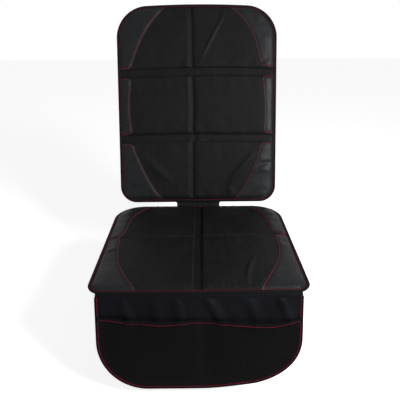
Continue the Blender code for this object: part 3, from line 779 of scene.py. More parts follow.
# %% Leather patches
SEAM_INSET = 0.0035
TUCK = 0.004
LEATHER_SKIN = 0.0007
LIP_AT = np.array([0, 0.5, 1.1, 1.9, 2.8, 3.5, 4.3, 5.6, 8.0, 11.5]) / 1000
LIP_HEIGHT = np.array([0.35, 0.75, 1.00, 1.05, 0.75, 0.35, 0.80, 1.35, 1.75, 1.95]) / 1000
RING_STEP = 0.0028
FIELD_STEP = 0.0032
SEAM_STEP = 0.002
RING_CLEAR = 0.96
RIM_CLEAR = 0.0006
OVER_QUILT = 0.00003
SEAM_DIP = LIP_HEIGHT[5]

PATCH_SEAMS = {
    "back_leather_top_left": [(-96, 585), (-111, 568), (-143, 530), (-170, 484), (-190, 436), (-199, 412), (-206, 403),
                              (-236, 402)],
    "back_leather_top_right": [(97, 586), (109, 576), (143, 544), (172, 496), (186, 449), (196, 418), (203, 409),
                               (236, 408)],
    "back_leather_middle_left": [(-236, 369), (-209, 369), (-202, 363), (-205, 335), (-207, 304), (-207, 263),
                                 (-202, 220), (-204, 210), (-213, 206), (-236, 206)],
    "back_leather_middle_right": [(236, 376), (208, 376), (201, 369), (203, 345), (205, 320), (207, 259), (204, 216),
                                  (211, 210), (236, 209)],
    "back_leather_foot_left": [(-236, 173), (-204, 173), (-196, 166), (-190, 146), (-180, 124), (-156, 74), (-133, 36),
                               (-116, 13), (-107, 2)],
    "back_leather_foot_right": [(236, 175), (201, 175), (193, 166), (186, 140), (177, 116), (154, 63), (137, 36),
                                (122, 15), (112, 2)],
    "seat_leather_rear_left": [(-122, 232), (-133, 219), (-155, 190), (-173, 163), (-188, 129), (-194, 80), (-196, 45),
                               (-203, 23), (-216, 14), (-237, 12)],
    "seat_leather_rear_right": [(128, 232), (139, 219), (158, 195), (176, 167), (187, 143), (193, 92), (197, 58),
                                (206, 40), (220, 35), (237, 34)],
    "seat_leather_front_left": [(-237, 3), (-212, 3), (-204, -4), (-202, -38), (-197, -75), (-190, -108), (-172, -154),
                                (-149, -197), (-130, -228)],
    "seat_leather_front_right": [(237, 19), (211, 19), (203, 11), (202, -15), (201, -46), (191, -95), (170, -147),
                                 (148, -190), (128, -228)],
}


def patch_seam(name):
    return curved(np.array(PATCH_SEAMS[name]) / 1000, SEAM_STEP)


def patch_outline(panel, seam):
    """The free edge of a patch, and its closed outline with the way back along the panel's edge."""
    beside = sideways(seam)
    middle = len(seam) // 2
    if abs(seam[middle, 0] + beside[middle, 0] * SEAM_INSET) > abs(seam[middle, 0]):
        beside = -beside
    tucked = panel.inset(TUCK)
    free = seam + beside * SEAM_INSET
    free = free[inside(*free.T, tucked)]
    first, last = (int(np.argmin(np.hypot(*(tucked - end).T))) for end in (free[0], free[-1]))
    count = len(tucked)
    forward = [(last + i) % count for i in range((first - last) % count + 1)]
    backward = [(last - i) % count for i in range((last - first) % count + 1)]
    way = min(forward, backward, key=len)[1:-1]
    return free, np.vstack([free, tucked[way]])


def triangulated(outline, free, beside):
    """Corners and triangles inside an outline, with rings of corners along its free edge."""
    chosen = []
    for depth in LIP_AT[1:-1]:
        ring = spaced(free + beside * depth, RING_STEP)
        chosen.append(ring[distance_to(*ring.T, free) > RING_CLEAR * depth])
    ticks = (np.arange(a, b, FIELD_STEP) for a, b in zip(outline.min(axis=0), outline.max(axis=0)))
    field = np.stack(np.meshgrid(*ticks), axis=-1).reshape(-1, 2)
    chosen.append(field[distance_to(*field.T, free) > LIP_AT[-2] + FIELD_STEP / 2])
    spots = np.vstack(chosen)
    spots = spots[inside(*spots.T, outline) & (distance_to(*spots.T, looped(outline)) > RIM_CLEAR)]
    rim = [(i, (i + 1) % len(outline)) for i in range(len(outline))]
    corners, _, faces, *_ = delaunay_2d_cdt([Vector(p) for p in np.vstack([outline, spots]).tolist()], rim, [], 1, 1e-7)
    return corners, faces


def make_patch(name, panel, top, rests_on):
    """A patch on a quilt's top."""
    free, outline = patch_outline(panel, patch_seam(name))
    beside = sideways(free)
    middle = len(free) // 2
    if not inside(*(free[middle] + beside[middle] * SEAM_STEP).reshape(2, 1), outline)[0]:
        beside = -beside
    corners, faces = triangulated(outline, free, beside)
    u, v = np.array([tuple(p) for p in corners]).T
    gap = distance_to(u, v, free)
    from_edge = distance_to(u, v, looped(panel.edge()))
    full = np.interp(gap, LIP_AT, LIP_HEIGHT)
    skin = np.minimum(full, LEATHER_SKIN)
    height = skin + (full - skin) * eased((from_edge - TAPE_COVER) / FREE_OF_TAPE)
    under = top.height(u, v)
    count = len(u)
    points = np.vstack([np.stack([u, v, under + height], axis=1), np.stack([u, v, under + OVER_QUILT], axis=1)])
    sides = dict.fromkeys(pair for face in faces for pair in zip(face, face[1:] + face[:1]))
    walls = [(b, a, a + count, b + count) for a, b in sides if (b, a) not in sides]
    mesh_faces = [*faces, *(tuple(i + count for i in reversed(face)) for face in faces), *walls]
    piece = new_piece(name.replace("leather", "patch"), points, mesh_faces, LEATHER, panel.matrix,
                      points[:, :2])
    # The lip attribute says where the leather is painted lighter, as a highlight along its lip.
    lip = piece.data.attributes.new("lip", "FLOAT", "POINT")
    lip.data.foreach_set("value", np.tile(1 - eased(gap / SEAM_INSET), 2).astype(np.float32))
    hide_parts(name)
    return piece


for patch in PATCH_SEAMS:
    make_patch(patch, *((BACK, BACK_TOP, "back_quilt") if patch.startswith("back") else (SEAT, SEAT_TOP, "seat_quilt")))

# %% [markdown]
# Binding tape is folded over each panel's edge and sewn through with red thread. On the real mat it is soft: it is
# fullest halfway, dips where the seam pulls it down, and its inner edge stands up a little. So a closed profile of the
# folded tape is swept round the edge. A curve with a bevel could do this too, but then the tape couldn't ripple.

# %% Helpers for tape and cloth
def paired(a, b):
    """Pairs of two arrays' values, each repeated to the other's shape."""
    return np.stack(np.broadcast_arrays(a, b), axis=-1)


def turned_outwards(piece):
    """Makes all faces of a closed piece point outwards."""
    mesh = bmesh.new()
    mesh.from_mesh(piece.data)
    bmesh.ops.recalc_face_normals(mesh, faces=mesh.faces)
    mesh.to_mesh(piece.data)
    mesh.free()
    return piece


def tape_piece(name, path, section, closed, swell, material, matrix):
    """Folded tape: a closed profile in millimetres is swept along a path, and is higher where the swell says so."""
    section = np.asarray(section, float) / 1000
    count, around = len(path), len(section)
    flat = path[:, None] + sideways(path, closed)[:, None] * section[:, :1]
    points = np.dstack([flat, section[:, 1] * (1 + swell[:, None])]).reshape(-1, 3)
    faces = []
    for i in range(count if closed else count - 1):
        a, b = i * around, (i + 1) % count * around
        faces += [(a + k, a + (k + 1) % around, b + (k + 1) % around, b + k) for k in range(around)]
    if not closed:
        faces += [tuple(range(around))[::-1], tuple((count - 1) * around + k for k in range(around))]
    run, girth = (np.cumsum(np.linalg.norm(np.diff(way, axis=0, prepend=way[:1]), axis=1)) for way in (path, section))
    uvs = paired(run[:, None], girth).reshape(-1, 2)
    return turned_outwards(new_piece(name, points, faces, material, matrix, uvs))


def cloth_piece(name, grid, thickness, material, matrix, uvs):
    """A closed sheet of cloth. The grid is its front, and its back lies behind by the thickness."""
    rows, columns = grid.shape[:2]
    normal = np.cross(np.gradient(grid, axis=1), np.gradient(grid, axis=0))
    normal /= np.linalg.norm(normal, axis=2)[..., None]
    count = rows * columns
    points = np.vstack([grid.reshape(-1, 3), (grid - normal * thickness).reshape(-1, 3)])
    front = grid_faces(rows, columns)
    rim = rim_of(rows, columns)
    walls = [(a, b, b + count, a + count) for a, b in zip(rim, np.roll(rim, -1))]
    faces = front + [tuple(i + count for i in reversed(face)) for face in front] + walls
    return turned_outwards(new_piece(name, points, faces, material, matrix, np.tile(uvs.reshape(-1, 2), (2, 1))))


# %% Binding of the two quilts
TAPE_SEAM = 0.0053
TAPE_DIP = 0.00415
TAPE_SWELL = 0.012
FOLDED_TAPE = [(-10.0, 0.0), (-4.0, 0.0), (-0.5, 0.05), (0.7, 0.5), (1.35, 1.4), (1.55, 2.4), (1.2, 3.5), (0.4, 4.4),
               (-0.8, 4.90), (-2.2, 5.00), (-3.6, 4.75), (-4.6, 4.35), (-5.3, 4.15), (-6.0, 4.35), (-6.7, 4.40),
               (-7.1, 4.05), (-7.0, 3.55), (-5.0, 3.45), (-1.5, 3.5), (0.3, 2.9), (0.5, 2.0), (0.0, 1.1), (-1.5, 0.7),
               (-10.0, 0.7)]
RED_SEAM_LIFT = 0.00035


def bind(name, panel, seed):
    path = panel.edge()
    along = np.arange(len(path)) * 2 * math.pi / len(path)
    rng = np.random.default_rng(seed)
    swell = sum(TAPE_SWELL * np.sin(along * rng.integers(30, 190) + rng.uniform(0, 6)) for _ in range(8))
    print(name, "is", round(len(path) * EDGE_STEP, 2), "m of tape")
    return tape_piece(name, path, FOLDED_TAPE, True, swell, LIT_TAPE, panel.matrix)


back_tape = bind("back_tape", BACK, 11)
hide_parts("back_binding")
seat_tape = bind("seat_tape", SEAT, 12)
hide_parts("seat_binding")

# %% [markdown]
# The bight strip is the doubled cloth through the gap between a car seat's cushion and its backrest. It joins the two
# panels, dips into the gap and has a few rumples across it. It is a grid that follows the gap, given a thickness by
# pushing its back face out along the grid's own normals.

# %% Bight strip
STRIP_HALF = 0.065
STRIP_STEP = 0.0012
STRIP_THICK = 0.0014
STRIP_RUMPLE = 0.0006
STRIP_FLARE = 0.10
STRIP_PATH = [(0.2196, 0.0030), (0.2225, 0.0022), (0.2262, 0.0024), (0.2295, 0.0048), (0.2312, 0.0085),
              (0.2320, 0.0125), (0.2326, 0.0162)]

way = curved(STRIP_PATH, STRIP_STEP)
across = np.linspace(-STRIP_HALF, STRIP_HALF, 90)
run = np.arange(len(way))[:, None] * STRIP_STEP
share = np.linspace(0, 1, len(way))[:, None]
rumple = STRIP_RUMPLE * ripples(across, run, 0.010, 21) * np.sin(math.pi * share)
flare = 1 + STRIP_FLARE * np.abs(2 * share - 1) ** 3
strip = np.dstack([across * flare, way[:, None] - sideways(way)[:, None] * rumple[..., None]])
bight = cloth_piece("bight_cloth", strip, STRIP_THICK, OXFORD, None, paired(across, run))
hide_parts("bight_strip")
print("bight strip has", len(bight.data.vertices), "points")

# %% [markdown]
# The flap hangs from the front edge of the seat panel. Its cloth is thin and smooth and has a few slanting folds from
# being packed. Two pockets of knotless net lie over it under one elastic hem. The flap's right corner hangs a little
# higher than its left one, as in the picture. The cloth, the net and the hem share one height function, so that none
# of them cuts through another.

# %% Shape of the flap
FLAP_LEAN = math.radians(75)
FLAP = Matrix.Translation((0, -0.2183523, -0.0034377)) @ Matrix.Rotation(FLAP_LEAN, 4, "X")
FLAP_HALF = 0.221
FLAP_LENGTH = 0.215
FLAP_CORNER = 0.110
HANG = 0.985
RIGHT_CORNER_LIFT = 0.077
CLOTH_FACE = 0.0024
POCKET_SEAM = 0.003
POCKET_BULGE = 0.012
NET_LIFT = 0.0008
MOUTH_DEPTH = 0.060
HEM_FADE = 0.040
FLAT_RIM = 0.008
RIM_RISE = 0.020
FLAT_TOP = 0.003
TOP_RISE = 0.012
DEEPEST_FOLD = -0.0009
FLAP_RUMPLE = 0.0004
FLAP_RUMPLE_SIZE = 0.018
FOLDS_BELOW_HEM = 0.45
SLACK_WIDTH = 0.075
NET_SEAM = 0.006
BULGE_ARC = 0.8 * math.pi
HEM_LINE = curved(np.array([(-215, -52), (-150, -57), (-85, -62), (-40, -61.5), (8, -60), (70, -63.5), (140, -68),
                            (180, -66), (215, -58)]) / 1000, 0.002)
FLAP_CREASES = [
    ([(-166, -2), (-158, -30), (-142, -66)], 6.0, 11),
    ([(-96, -2), (-92, -34), (-84, -70)], 4.5, 12),
    ([(-50, -2), (-44, -34), (-40, -66)], 5.0, 10),
    ([(10, -2), (30, -28), (52, -66)], 7.0, 10),
    ([(96, -2), (116, -34), (124, -70)], 5.5, 11),
    ([(170, -2), (180, -26), (196, -60)], 6.0, 9),
    ([(-8, -2), (8, -24), (28, -52)], -3.0, 6),
    ([(-196, -4), (-190, -50)], -1.5, 8),
    ([(-120, -90), (-110, -170)], 1.5, 14),
    ([(60, -90), (80, -180)], 1.5, 14),
]


def flap_half_width(depth):
    into_corner = np.maximum(depth - FLAP_LENGTH + FLAP_CORNER, 0)
    return FLAP_HALF - FLAP_CORNER + np.sqrt(np.maximum(FLAP_CORNER**2 - into_corner**2, 0))


def flap_place(share, depth):
    """The (u, v) at a share of the flap's half width and a depth below its top."""
    u = share * flap_half_width(depth)
    return u, -depth * (HANG - RIGHT_CORNER_LIFT * eased(u / 0.2) * depth / FLAP_LENGTH)


def hung(points):
    """Points of the flap's flat layout, taken to their place."""
    return points @ np.array(FLAP.to_3x3()).T + np.array(FLAP.translation)


def flap_depths(first, straight, bent):
    """Depths down the side of the flap, which follow its round corner."""
    return np.concatenate([np.linspace(first, FLAP_LENGTH - FLAP_CORNER, straight)[:-1],
                           FLAP_LENGTH - FLAP_CORNER * (1 - np.sin(np.linspace(0, math.pi / 2, bent)))])


def flap_edge():
    """The flap's edge, down its left side, along its foot and up its right side."""
    side = flap_depths(0.004, 40, 60)
    foot = flap_place(np.linspace(-1, 1, 80)[1:-1], np.full(78, FLAP_LENGTH))
    return spaced(np.hstack([flap_place(-1.0, side), foot, flap_place(1.0, side[::-1])]).T, EDGE_STEP)


EDGE = flap_edge()


def cloth_height(u, v):
    """The height of the flap cloth's face. Its folds fade out at its edge and its top, and in part below the hem."""
    below_hem = eased((-v - MOUTH_DEPTH) / HEM_FADE)
    free = eased((distance_to(u, v, EDGE) - FLAT_RIM) / RIM_RISE) * eased((-v - FLAT_TOP) / TOP_RISE)
    free = free * (1 - (1 - FOLDS_BELOW_HEM) * below_hem)
    folded = np.maximum(folds(u, v, FLAP_CREASES), DEEPEST_FOLD)
    return CLOTH_FACE + free * (folded + FLAP_RUMPLE * ripples(u, v, FLAP_RUMPLE_SIZE, 31))


def mouth_line(u):
    return np.interp(u, HEM_LINE[:, 0], HEM_LINE[:, 1])


def net_height(u, v):
    """The height of the net's back: close to the cloth along its seams, and standing off it in the pockets."""
    middle = eased(np.abs(u - POCKET_SEAM) / SLACK_WIDTH) * eased((distance_to(u, v, EDGE) - NET_SEAM) / SLACK_WIDTH)
    up_pocket = np.clip((v + FLAP_LENGTH) / (FLAP_LENGTH - MOUTH_DEPTH), 0, 1)
    return cloth_height(u, v) + NET_LIFT + POCKET_BULGE * middle * np.sin(BULGE_ARC * up_pocket)


print("edge of the flap:", round(float(np.linalg.norm(np.diff(EDGE, axis=0), axis=1).sum()), 3), "m")

# %% Flap cloth
LAP = 0.010
LAP_HEIGHT = -0.0006
FRONT = -0.217
BEND = 0.003
INSET_SHARE = 0.996
FLAP_THICK = 0.0008

depths = flap_depths(0, 36, 40) * INSET_SHARE
u, v = flap_place(np.linspace(-INSET_SHARE, INSET_SHARE, 150), depths[:, None])
lying = np.dstack([u, v, cloth_height(u, v)])
hanging = hung(lying)
over = [(FRONT + LAP, LAP_HEIGHT), (FRONT + LAP / 2, LAP_HEIGHT)] + [
    (FRONT - BEND * math.sin(a), LAP_HEIGHT - BEND + BEND * math.cos(a)) for a in np.linspace(0, FLAP_LEAN, 7)[:-1]]
top_rows = np.array([[(x, y, z) for x in hanging[0, :, 0]] for y, z in over])
lap_v = np.linspace(LAP + BEND * 1.3, 0.001, len(over))[:, None]
flap_cloth = cloth_piece("flap_cloth_sheet", np.vstack([top_rows, hanging]), FLAP_THICK, FLAP_CLOTH, None,
                         np.concatenate([paired(u[:1], lap_v), lying[..., :2]]))
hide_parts("flap_panel")
print("flap cloth has", len(flap_cloth.data.vertices), "points")

# %% Binding of the flap
FLAP_TAPE = [(-9.5, 0.0), (-4.0, 0.0), (-0.5, 0.1), (0.7, 0.7), (1.1, 1.8), (0.8, 3.0), (0.0, 3.8), (-1.4, 4.2),
             (-3.0, 4.15), (-4.2, 3.8), (-4.9, 3.6), (-5.6, 3.8), (-6.3, 3.85), (-6.7, 3.5), (-6.5, 3.1), (-1.5, 3.2),
             (0.1, 2.6), (0.1, 1.5), (-1.5, 0.8), (-9.5, 0.8)]
FLAP_SEAM = 0.0049
FLAP_DIP = 0.0036
FLAP_SWELL = 0.04

count = np.arange(len(EDGE))
swell = FLAP_SWELL * np.sin(count * 0.9) * np.sin(count * 0.23 + 1)
flap_tape = tape_piece("flap_tape", EDGE, FLAP_TAPE, False, swell, SHADED_TAPE, FLAP)
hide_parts("flap_binding")

# %% Elastic hem of the pockets
HEM_ABOVE = 0.0068
HEM_BELOW = 0.0018
HEM_THICK = 0.0011
HEM_LIFT = 0.0022
HEM_DIP = 0.0030
HEM_HALF = 0.2165
HEM_GATHERS = 0.00025
HEM_ROUND = 0.0004

across = np.linspace(-HEM_HALF, HEM_HALF, 260)
shares = np.linspace(0, 1, 7)[:, None]
mouth = mouth_line(across)
u, v = np.broadcast_arrays(across, mouth + HEM_ABOVE - shares * (HEM_ABOVE + HEM_BELOW))
gathers = HEM_GATHERS * np.sin(across * 900 + 2 * np.sin(across * 70)) * np.sin(math.pi * shares)
round_edges = HEM_ROUND * np.sin(math.pi * shares)
hem_grid = np.dstack([u, v, net_height(u, v) + HEM_LIFT + gathers + round_edges])
hem = cloth_piece("pocket_hem_tape", hem_grid, HEM_THICK, SHADED_TAPE, FLAP, paired(u, v - mouth))
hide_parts("pocket_hem")
print("hem and flap tape made")

# %% [markdown]
# The net has holes about 4.6 mm apart, in staggered rows, so its threads run in hexagons. A picture with see-through
# holes would be cheap, but seen from the side it would be flat. Here a flat lattice of hexagons is laid on the
# pockets, and Geometry Nodes turns each of its edges into a thread: the edges become curves, and the curves get a
# small square section.

# %% Helpers for Geometry Nodes
def growing_tree(name, inputs):
    return new_tree(name, "Geometry", [("Geometry", "Geometry", None), *inputs], ["Geometry"], "Geometry")


def finished(tree, gives, geometry, material, smooth=False):
    """Ends a tree: what stands for copies becomes a real mesh, and gets its material."""
    last = add_node(tree, "GeometryNodeRealizeInstances", Geometry=geometry)
    if smooth:
        last = add_node(tree, "GeometryNodeSetShadeSmooth", Geometry=last.outputs[0])
    last = add_node(tree, "GeometryNodeSetMaterial", Geometry=last.outputs[0], Material=material)
    tree.links.new(last.outputs[0], gives[0])
    return tree


def grown(name, points, edges, tree, values):
    """Runs a tree on loose points and edges, and keeps the result as a plain mesh piece."""
    path = bpy.data.meshes.new(name + "_path")
    path.from_pydata([tuple(map(float, p)) for p in points], [tuple(map(int, e)) for e in edges], [])
    carrier = add_object(name + "_path", path)
    modifier = carrier.modifiers.new("grow", "NODES")
    modifier.node_group = tree
    for item in tree.interface.items_tree:
        if item.in_out == "INPUT" and item.name in values:
            modifier[item.identifier] = values[item.name]
    bpy.context.view_layer.update()
    data = bpy.data.meshes.new_from_object(carrier.evaluated_get(bpy.context.evaluated_depsgraph_get()))
    bpy.data.objects.remove(carrier)
    data.name = name
    print(name, "has", len(data.polygons), "faces")
    return on_root(name, data)


# %% Net of the pockets
NET_PITCH = 0.0046
NET_RADIUS = 0.00040
NET_TOP = -0.050
NET_TO_EDGE = 0.004
UNDER_HEM = 0.002


def net_tree():
    tree, given, gives = growing_tree("net_threads", [
        ("Thread Radius", "Float", NET_RADIUS), ("Thread Sides", "Int", 4), ("Thread", "Material", None)])
    curves = add_node(tree, "GeometryNodeMeshToCurve", Mesh=given["Geometry"])
    ring = add_node(tree, "GeometryNodeCurvePrimitiveCircle", Resolution=given["Thread Sides"],
                    Radius=given["Thread Radius"])
    tubes = add_node(tree, "GeometryNodeCurveToMesh", Curve=curves.outputs[0], Profile_Curve=ring.outputs[0],
                     Fill_Caps=True)
    return finished(tree, gives, tubes.outputs[0], given["Thread"])


def hexagons(low, high, pitch):
    """Corners and edges of a lattice of hexagons, with each corner listed once."""
    side = pitch / math.sqrt(3)
    corners, edges = {}, set()
    rows = int((high[1] - low[1]) / (1.5 * side)) + 1
    columns = int((high[0] - low[0]) / pitch) + 1
    for row in range(rows):
        for column in range(columns):
            x = low[0] + pitch * (column + row % 2 / 2)
            y = low[1] + 1.5 * side * row
            ring = []
            for k in range(6):
                angle = math.pi / 6 + k * math.pi / 3
                corner = (x + side * math.cos(angle), y + side * math.sin(angle))
                key = (round(corner[0] / side * 4), round(corner[1] / side * 4))
                ring.append(corners.setdefault(key, (len(corners), corner))[0])
            edges.update(tuple(sorted(pair)) for pair in zip(ring, ring[1:] + ring[:1]))
    return np.array([corner for _, corner in corners.values()]), sorted(edges)


flat_net, net_edges = hexagons((-FLAP_HALF, -FLAP_LENGTH), (FLAP_HALF, NET_TOP), NET_PITCH)
outline = np.vstack([EDGE, [(FLAP_HALF, 0), (-FLAP_HALF, 0)]])
kept = inside(*flat_net.T, outline) & (distance_to(*flat_net.T, EDGE) > NET_TO_EDGE)
kept &= flat_net[:, 1] < mouth_line(flat_net[:, 0]) + UNDER_HEM
number = np.cumsum(kept) - 1
net_edges = [(number[a], number[b]) for a, b in net_edges if kept[a] and kept[b]]
u, v = flat_net[kept].T
net_points = hung(np.stack([u, v, net_height(u, v)], axis=1))
net = grown("pocket_net_threads", net_points, net_edges, net_tree(),
            {"Thread Radius": NET_RADIUS, "Thread Sides": 4, "Thread": NET_CORD})
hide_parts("pocket_net")

# %% [markdown]
# The stitching is what makes the mat look sewn: red thread along the leather, the binding and the hem, and black
# thread down the channels. Each seam is a path. A Geometry Nodes tree walks along it and sets down one stitch per
# step, turned along the path, slightly uneven by a fixed seed.

# %% Stitches along a seam
def stitch_tree():
    tree, given, gives = growing_tree("stitches", [("Pitch", "Float", 0.0045), ("Length", "Float", 0.004),
                                                   ("Thickness", "Float", 0.001), ("Seed", "Int", 5),
                                                   ("Thread", "Material", None)])
    curves = add_node(tree, "GeometryNodeMeshToCurve", Mesh=given["Geometry"])
    spots = add_node(tree, "GeometryNodeCurveToPoints", {"mode": "LENGTH"}, Curve=curves.outputs[0],
                     Length=given["Pitch"])
    along = add_node(tree, "FunctionNodeAlignRotationToVector", {"axis": "Z"}, Vector=spots.outputs["Tangent"])
    ball = add_node(tree, "GeometryNodeMeshUVSphere", Segments=6, Rings=5, Radius=0.5)
    size = add_node(tree, "ShaderNodeCombineXYZ", X=given["Thickness"], Y=given["Thickness"], Z=given["Length"])
    uneven = add_node(tree, "FunctionNodeRandomValue", {"data_type": "FLOAT"}, Seed=given["Seed"])
    uneven.inputs[2].default_value, uneven.inputs[3].default_value = 0.88, 1.06
    placed = add_node(tree, "GeometryNodeInstanceOnPoints", Points=spots.outputs["Points"],
                      Instance=ball.outputs["Mesh"], Rotation=along.outputs[0],
                      Scale=vectors(tree, "SCALE", _0=size.outputs[0], Scale=uneven.outputs[1]))
    return finished(tree, gives, placed.outputs[0], given["Thread"], smooth=True)


STITCHES = stitch_tree()
RED_STITCH = {"Pitch": 0.0046, "Length": 0.0039, "Thickness": 0.0012, "Seed": 5, "Thread": RED_THREAD}
FINE_RED_STITCH = RED_STITCH | {"Length": 0.0034, "Thickness": 0.0009}
BLACK_STITCH = {"Pitch": 0.0040, "Length": 0.0032, "Thickness": 0.0008, "Seed": 6, "Thread": BLACK_THREAD}
BLACK_SEAM_LIFT = 0.0001
CLEAR_OF_SEAM = 0.001
CLEAR_OF_TAPE = 0.002


def sewn(name, seams, stitch, matrix, closed=False):
    """One piece of stitching along several seams."""
    points, edges = [], []
    for seam in seams:
        start, count = len(points), len(seam)
        points += [matrix @ Vector(p) for p in seam.tolist()]
        edges += [(start + i, start + (i + 1) % count) for i in range(count if closed else count - 1)]
    return grown(name, points, edges, STITCHES, stitch)


def on_leather(panel, top, names):
    """The red seams of the patches, as far as the binding."""
    clear = panel.inset(TAPE_SEAM + CLEAR_OF_SEAM)
    seams = [seam[inside(*seam.T, clear)] for seam in map(patch_seam, names)]
    return [np.column_stack([seam, top.height(*seam.T) + SEAM_DIP + RED_SEAM_LIFT]) for seam in seams]


def round_edge(panel):
    """The red seam through the binding."""
    seam = panel.inset(TAPE_SEAM)
    return np.column_stack([seam, np.full(len(seam), TAPE_DIP + RED_SEAM_LIFT)])


def in_channels(quilt, top):
    """The black seams along the channels' edges."""
    panel, inset = quilt.panel, TAPE_COVER + CLEAR_OF_TAPE
    t = np.linspace(panel.start + inset, panel.end - inset, 240)
    s = np.linspace(-HALF + inset, HALF - inset, 200)
    lines = [(np.full_like(t, at), t) for seam in quilt.columns for at in sorted(set(seam[:2]))]
    lines += [(s, np.full_like(s, at)) for seam in quilt.rows for at in sorted(set(seam[:2]))]
    seams = [np.stack(panel.place(*quilt.drifted(*line)), axis=1) for line in lines]
    return [np.column_stack([seam, top.height(*seam.T) + BLACK_SEAM_LIFT]) for seam in seams]


for prefix, quilt, top in (("back", BACK_QUILT, BACK_TOP), ("seat", SEAT_QUILT, SEAT_TOP)):
    names = [name for name in PATCH_SEAMS if name.startswith(prefix)]
    sewn(prefix + "_red_stitches", on_leather(quilt.panel, top, names), RED_STITCH, quilt.panel.matrix)
    sewn(prefix + "_tape_stitches", [round_edge(quilt.panel)], FINE_RED_STITCH, quilt.panel.matrix,
         closed=True)
    sewn(prefix + "_black_stitches", in_channels(quilt, top), BLACK_STITCH, quilt.panel.matrix)

# %% Stitches of the flap
HEM_SEAM_HALF = 0.212
POCKET_SEAM_TOP, POCKET_SEAM_FOOT = -0.066, -0.203

flap_seam = EDGE - sideways(EDGE) * FLAP_SEAM
flap_seam = np.column_stack([flap_seam, np.full(len(flap_seam), FLAP_DIP + RED_SEAM_LIFT)])
hem_u = np.linspace(-HEM_SEAM_HALF, HEM_SEAM_HALF, 220)
hem_v = mouth_line(hem_u)
hem_seam = np.column_stack([hem_u, hem_v, net_height(hem_u, hem_v) + HEM_DIP + RED_SEAM_LIFT])
sewn("flap_red_stitches", [flap_seam, hem_seam], RED_STITCH, FLAP)
seam_v = np.linspace(POCKET_SEAM_TOP, POCKET_SEAM_FOOT, 120)
seam_u = np.full_like(seam_v, POCKET_SEAM)
pocket_seam = np.column_stack([seam_u, seam_v, net_height(seam_u, seam_v) + NET_RADIUS])
sewn("pocket_seam_stitches", [pocket_seam], BLACK_STITCH, FLAP)

# %% [markdown]
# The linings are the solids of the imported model, with a backing finish. The underside of such a mat has small rubber
# dots that keep it from sliding. A tree sets one low cone at each point of a staggered pattern inside the outline.

# %% Backing
for name, finish in (("back_lining", BACK_BACKING), ("seat_lining", SEAT_BACKING)):
    for place in frame["nodes"][name].material_slots:
        place.material = finish
DOT_PITCH = 0.012
DOT_WIDTH = 0.0026
DOT_HEIGHT = 0.0006
DOT_MARGIN = 0.016
DOT_SINK = 0.00005


def dot_tree():
    tree, given, gives = growing_tree("dots", [("Width", "Float", DOT_WIDTH), ("Height", "Float", DOT_HEIGHT),
                                               ("Turn", "Rotation", None), ("Rubber", "Material", None)])
    spots = add_node(tree, "GeometryNodeMeshToPoints", Mesh=given["Geometry"])
    wide = calculate(tree, "MULTIPLY", given["Width"], 0.5)
    dot = add_node(tree, "GeometryNodeMeshCone", Vertices=8, Radius_Top=calculate(tree, "MULTIPLY", wide, 0.6),
                   Radius_Bottom=wide, Depth=given["Height"])
    placed = add_node(tree, "GeometryNodeInstanceOnPoints", Points=spots.outputs[0], Instance=dot.outputs[0],
                      Rotation=given["Turn"])
    return finished(tree, gives, placed.outputs[0], given["Rubber"])


DOTS = dot_tree()
for prefix, panel in (("back", BACK), ("seat", SEAT)):
    u, v = np.meshgrid(np.arange(-HALF, HALF, DOT_PITCH), np.arange(panel.start, panel.end, DOT_PITCH))
    u = u + (np.arange(len(u)) % 2)[:, None] * DOT_PITCH / 2
    keep = inside(u, v, panel.inset(DOT_MARGIN, 2 * EDGE_STEP))
    turn_over = panel.matrix.to_euler()
    turn_over.rotate_axis("X", math.pi)
    spots = [panel.matrix @ Vector((a, b, -DOT_HEIGHT / 2 + DOT_SINK)) for a, b in zip(u[keep], v[keep])]
    grown(prefix + "_rubber_dots", spots, [], DOTS, {"Width": DOT_WIDTH, "Height": DOT_HEIGHT,
                                                     "Turn": tuple(turn_over), "Rubber": RUBBER})

# %% [markdown]
# The studio: a pale floor, a soft light high on the right, a much weaker one on the left, and an even world. To the
# camera the world and the floor look almost white, as in the picture, but they light the mat no more than dark grey
# walls would. Light Path tells the material who is looking.

# %% Floor, lights and world
FLOOR_HEIGHT = -0.236
FLOOR_GLOW = 0.83
WORLD_LIGHT = 0.10


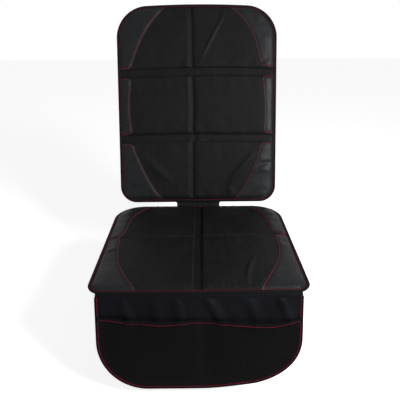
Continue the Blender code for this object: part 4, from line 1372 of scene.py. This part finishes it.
def seen_rays(tree):
    """1 for what the camera sees, straight or off a shiny face, and 0 for the rays that only carry light."""
    rays = add_node(tree, "ShaderNodeLightPath").outputs
    return calculate(tree, "MAXIMUM", rays["Is Camera Ray"],
                     calculate(tree, "MAXIMUM", rays["Is Glossy Ray"], rays["Is Transmission Ray"]))


def pale_floor():
    material, tree, shader = new_material("pale_floor", roughness=0.9, specular=0.1)
    shader["Base Color"].default_value = (0.80, 0.80, 0.80, 1)
    glow = add_node(tree, "ShaderNodeEmission", Color=(1, 1, 1, 1),
                    Strength=calculate(tree, "MULTIPLY", seen_rays(tree), FLOOR_GLOW))
    both = add_node(tree, "ShaderNodeAddShader", _0=tree.nodes["Principled BSDF"].outputs[0], _1=glow.outputs[0])
    tree.links.new(both.outputs[0], tree.nodes["Material Output"].inputs["Surface"])
    return material


data = bpy.data.meshes.new("floor")
data.from_pydata([(-4, -4, FLOOR_HEIGHT), (4, -4, FLOOR_HEIGHT), (4, 8, FLOOR_HEIGHT), (-4, 8, FLOOR_HEIGHT)], [],
                 [(0, 1, 2, 3)])
data.materials.append(pale_floor())
add_object("floor", data)


def add_light(name, place, target, size, power, colour):
    data = bpy.data.lights.new(name, "AREA")
    data.size, data.energy, data.color = size, power, colour
    light = add_object(name, data)
    light.location = place
    light.rotation_euler = (Vector(target) - Vector(place)).to_track_quat("-Z", "Y").to_euler()


MIDDLE = (0, 0, 0.15)
add_light("key", (1.12, -0.98, 1.02), MIDDLE, size=0.45, power=38, colour=(0.97, 0.985, 1.0))
add_light("fill", (-1.4, -1.2, 0.9), MIDDLE, size=1.2, power=2, colour=(1.0, 0.97, 0.93))

world = bpy.data.worlds.new("studio")
world.use_nodes = True
tree = world.node_tree
backdrop = tree.nodes["Background"].inputs
backdrop["Color"].default_value = (1, 1, 1, 1)
tree.links.new(map_range(tree, seen_rays(tree), to_low=WORLD_LIGHT), backdrop["Strength"])
bpy.context.scene.world = world
bpy.context.scene.view_settings.view_transform = "Standard"
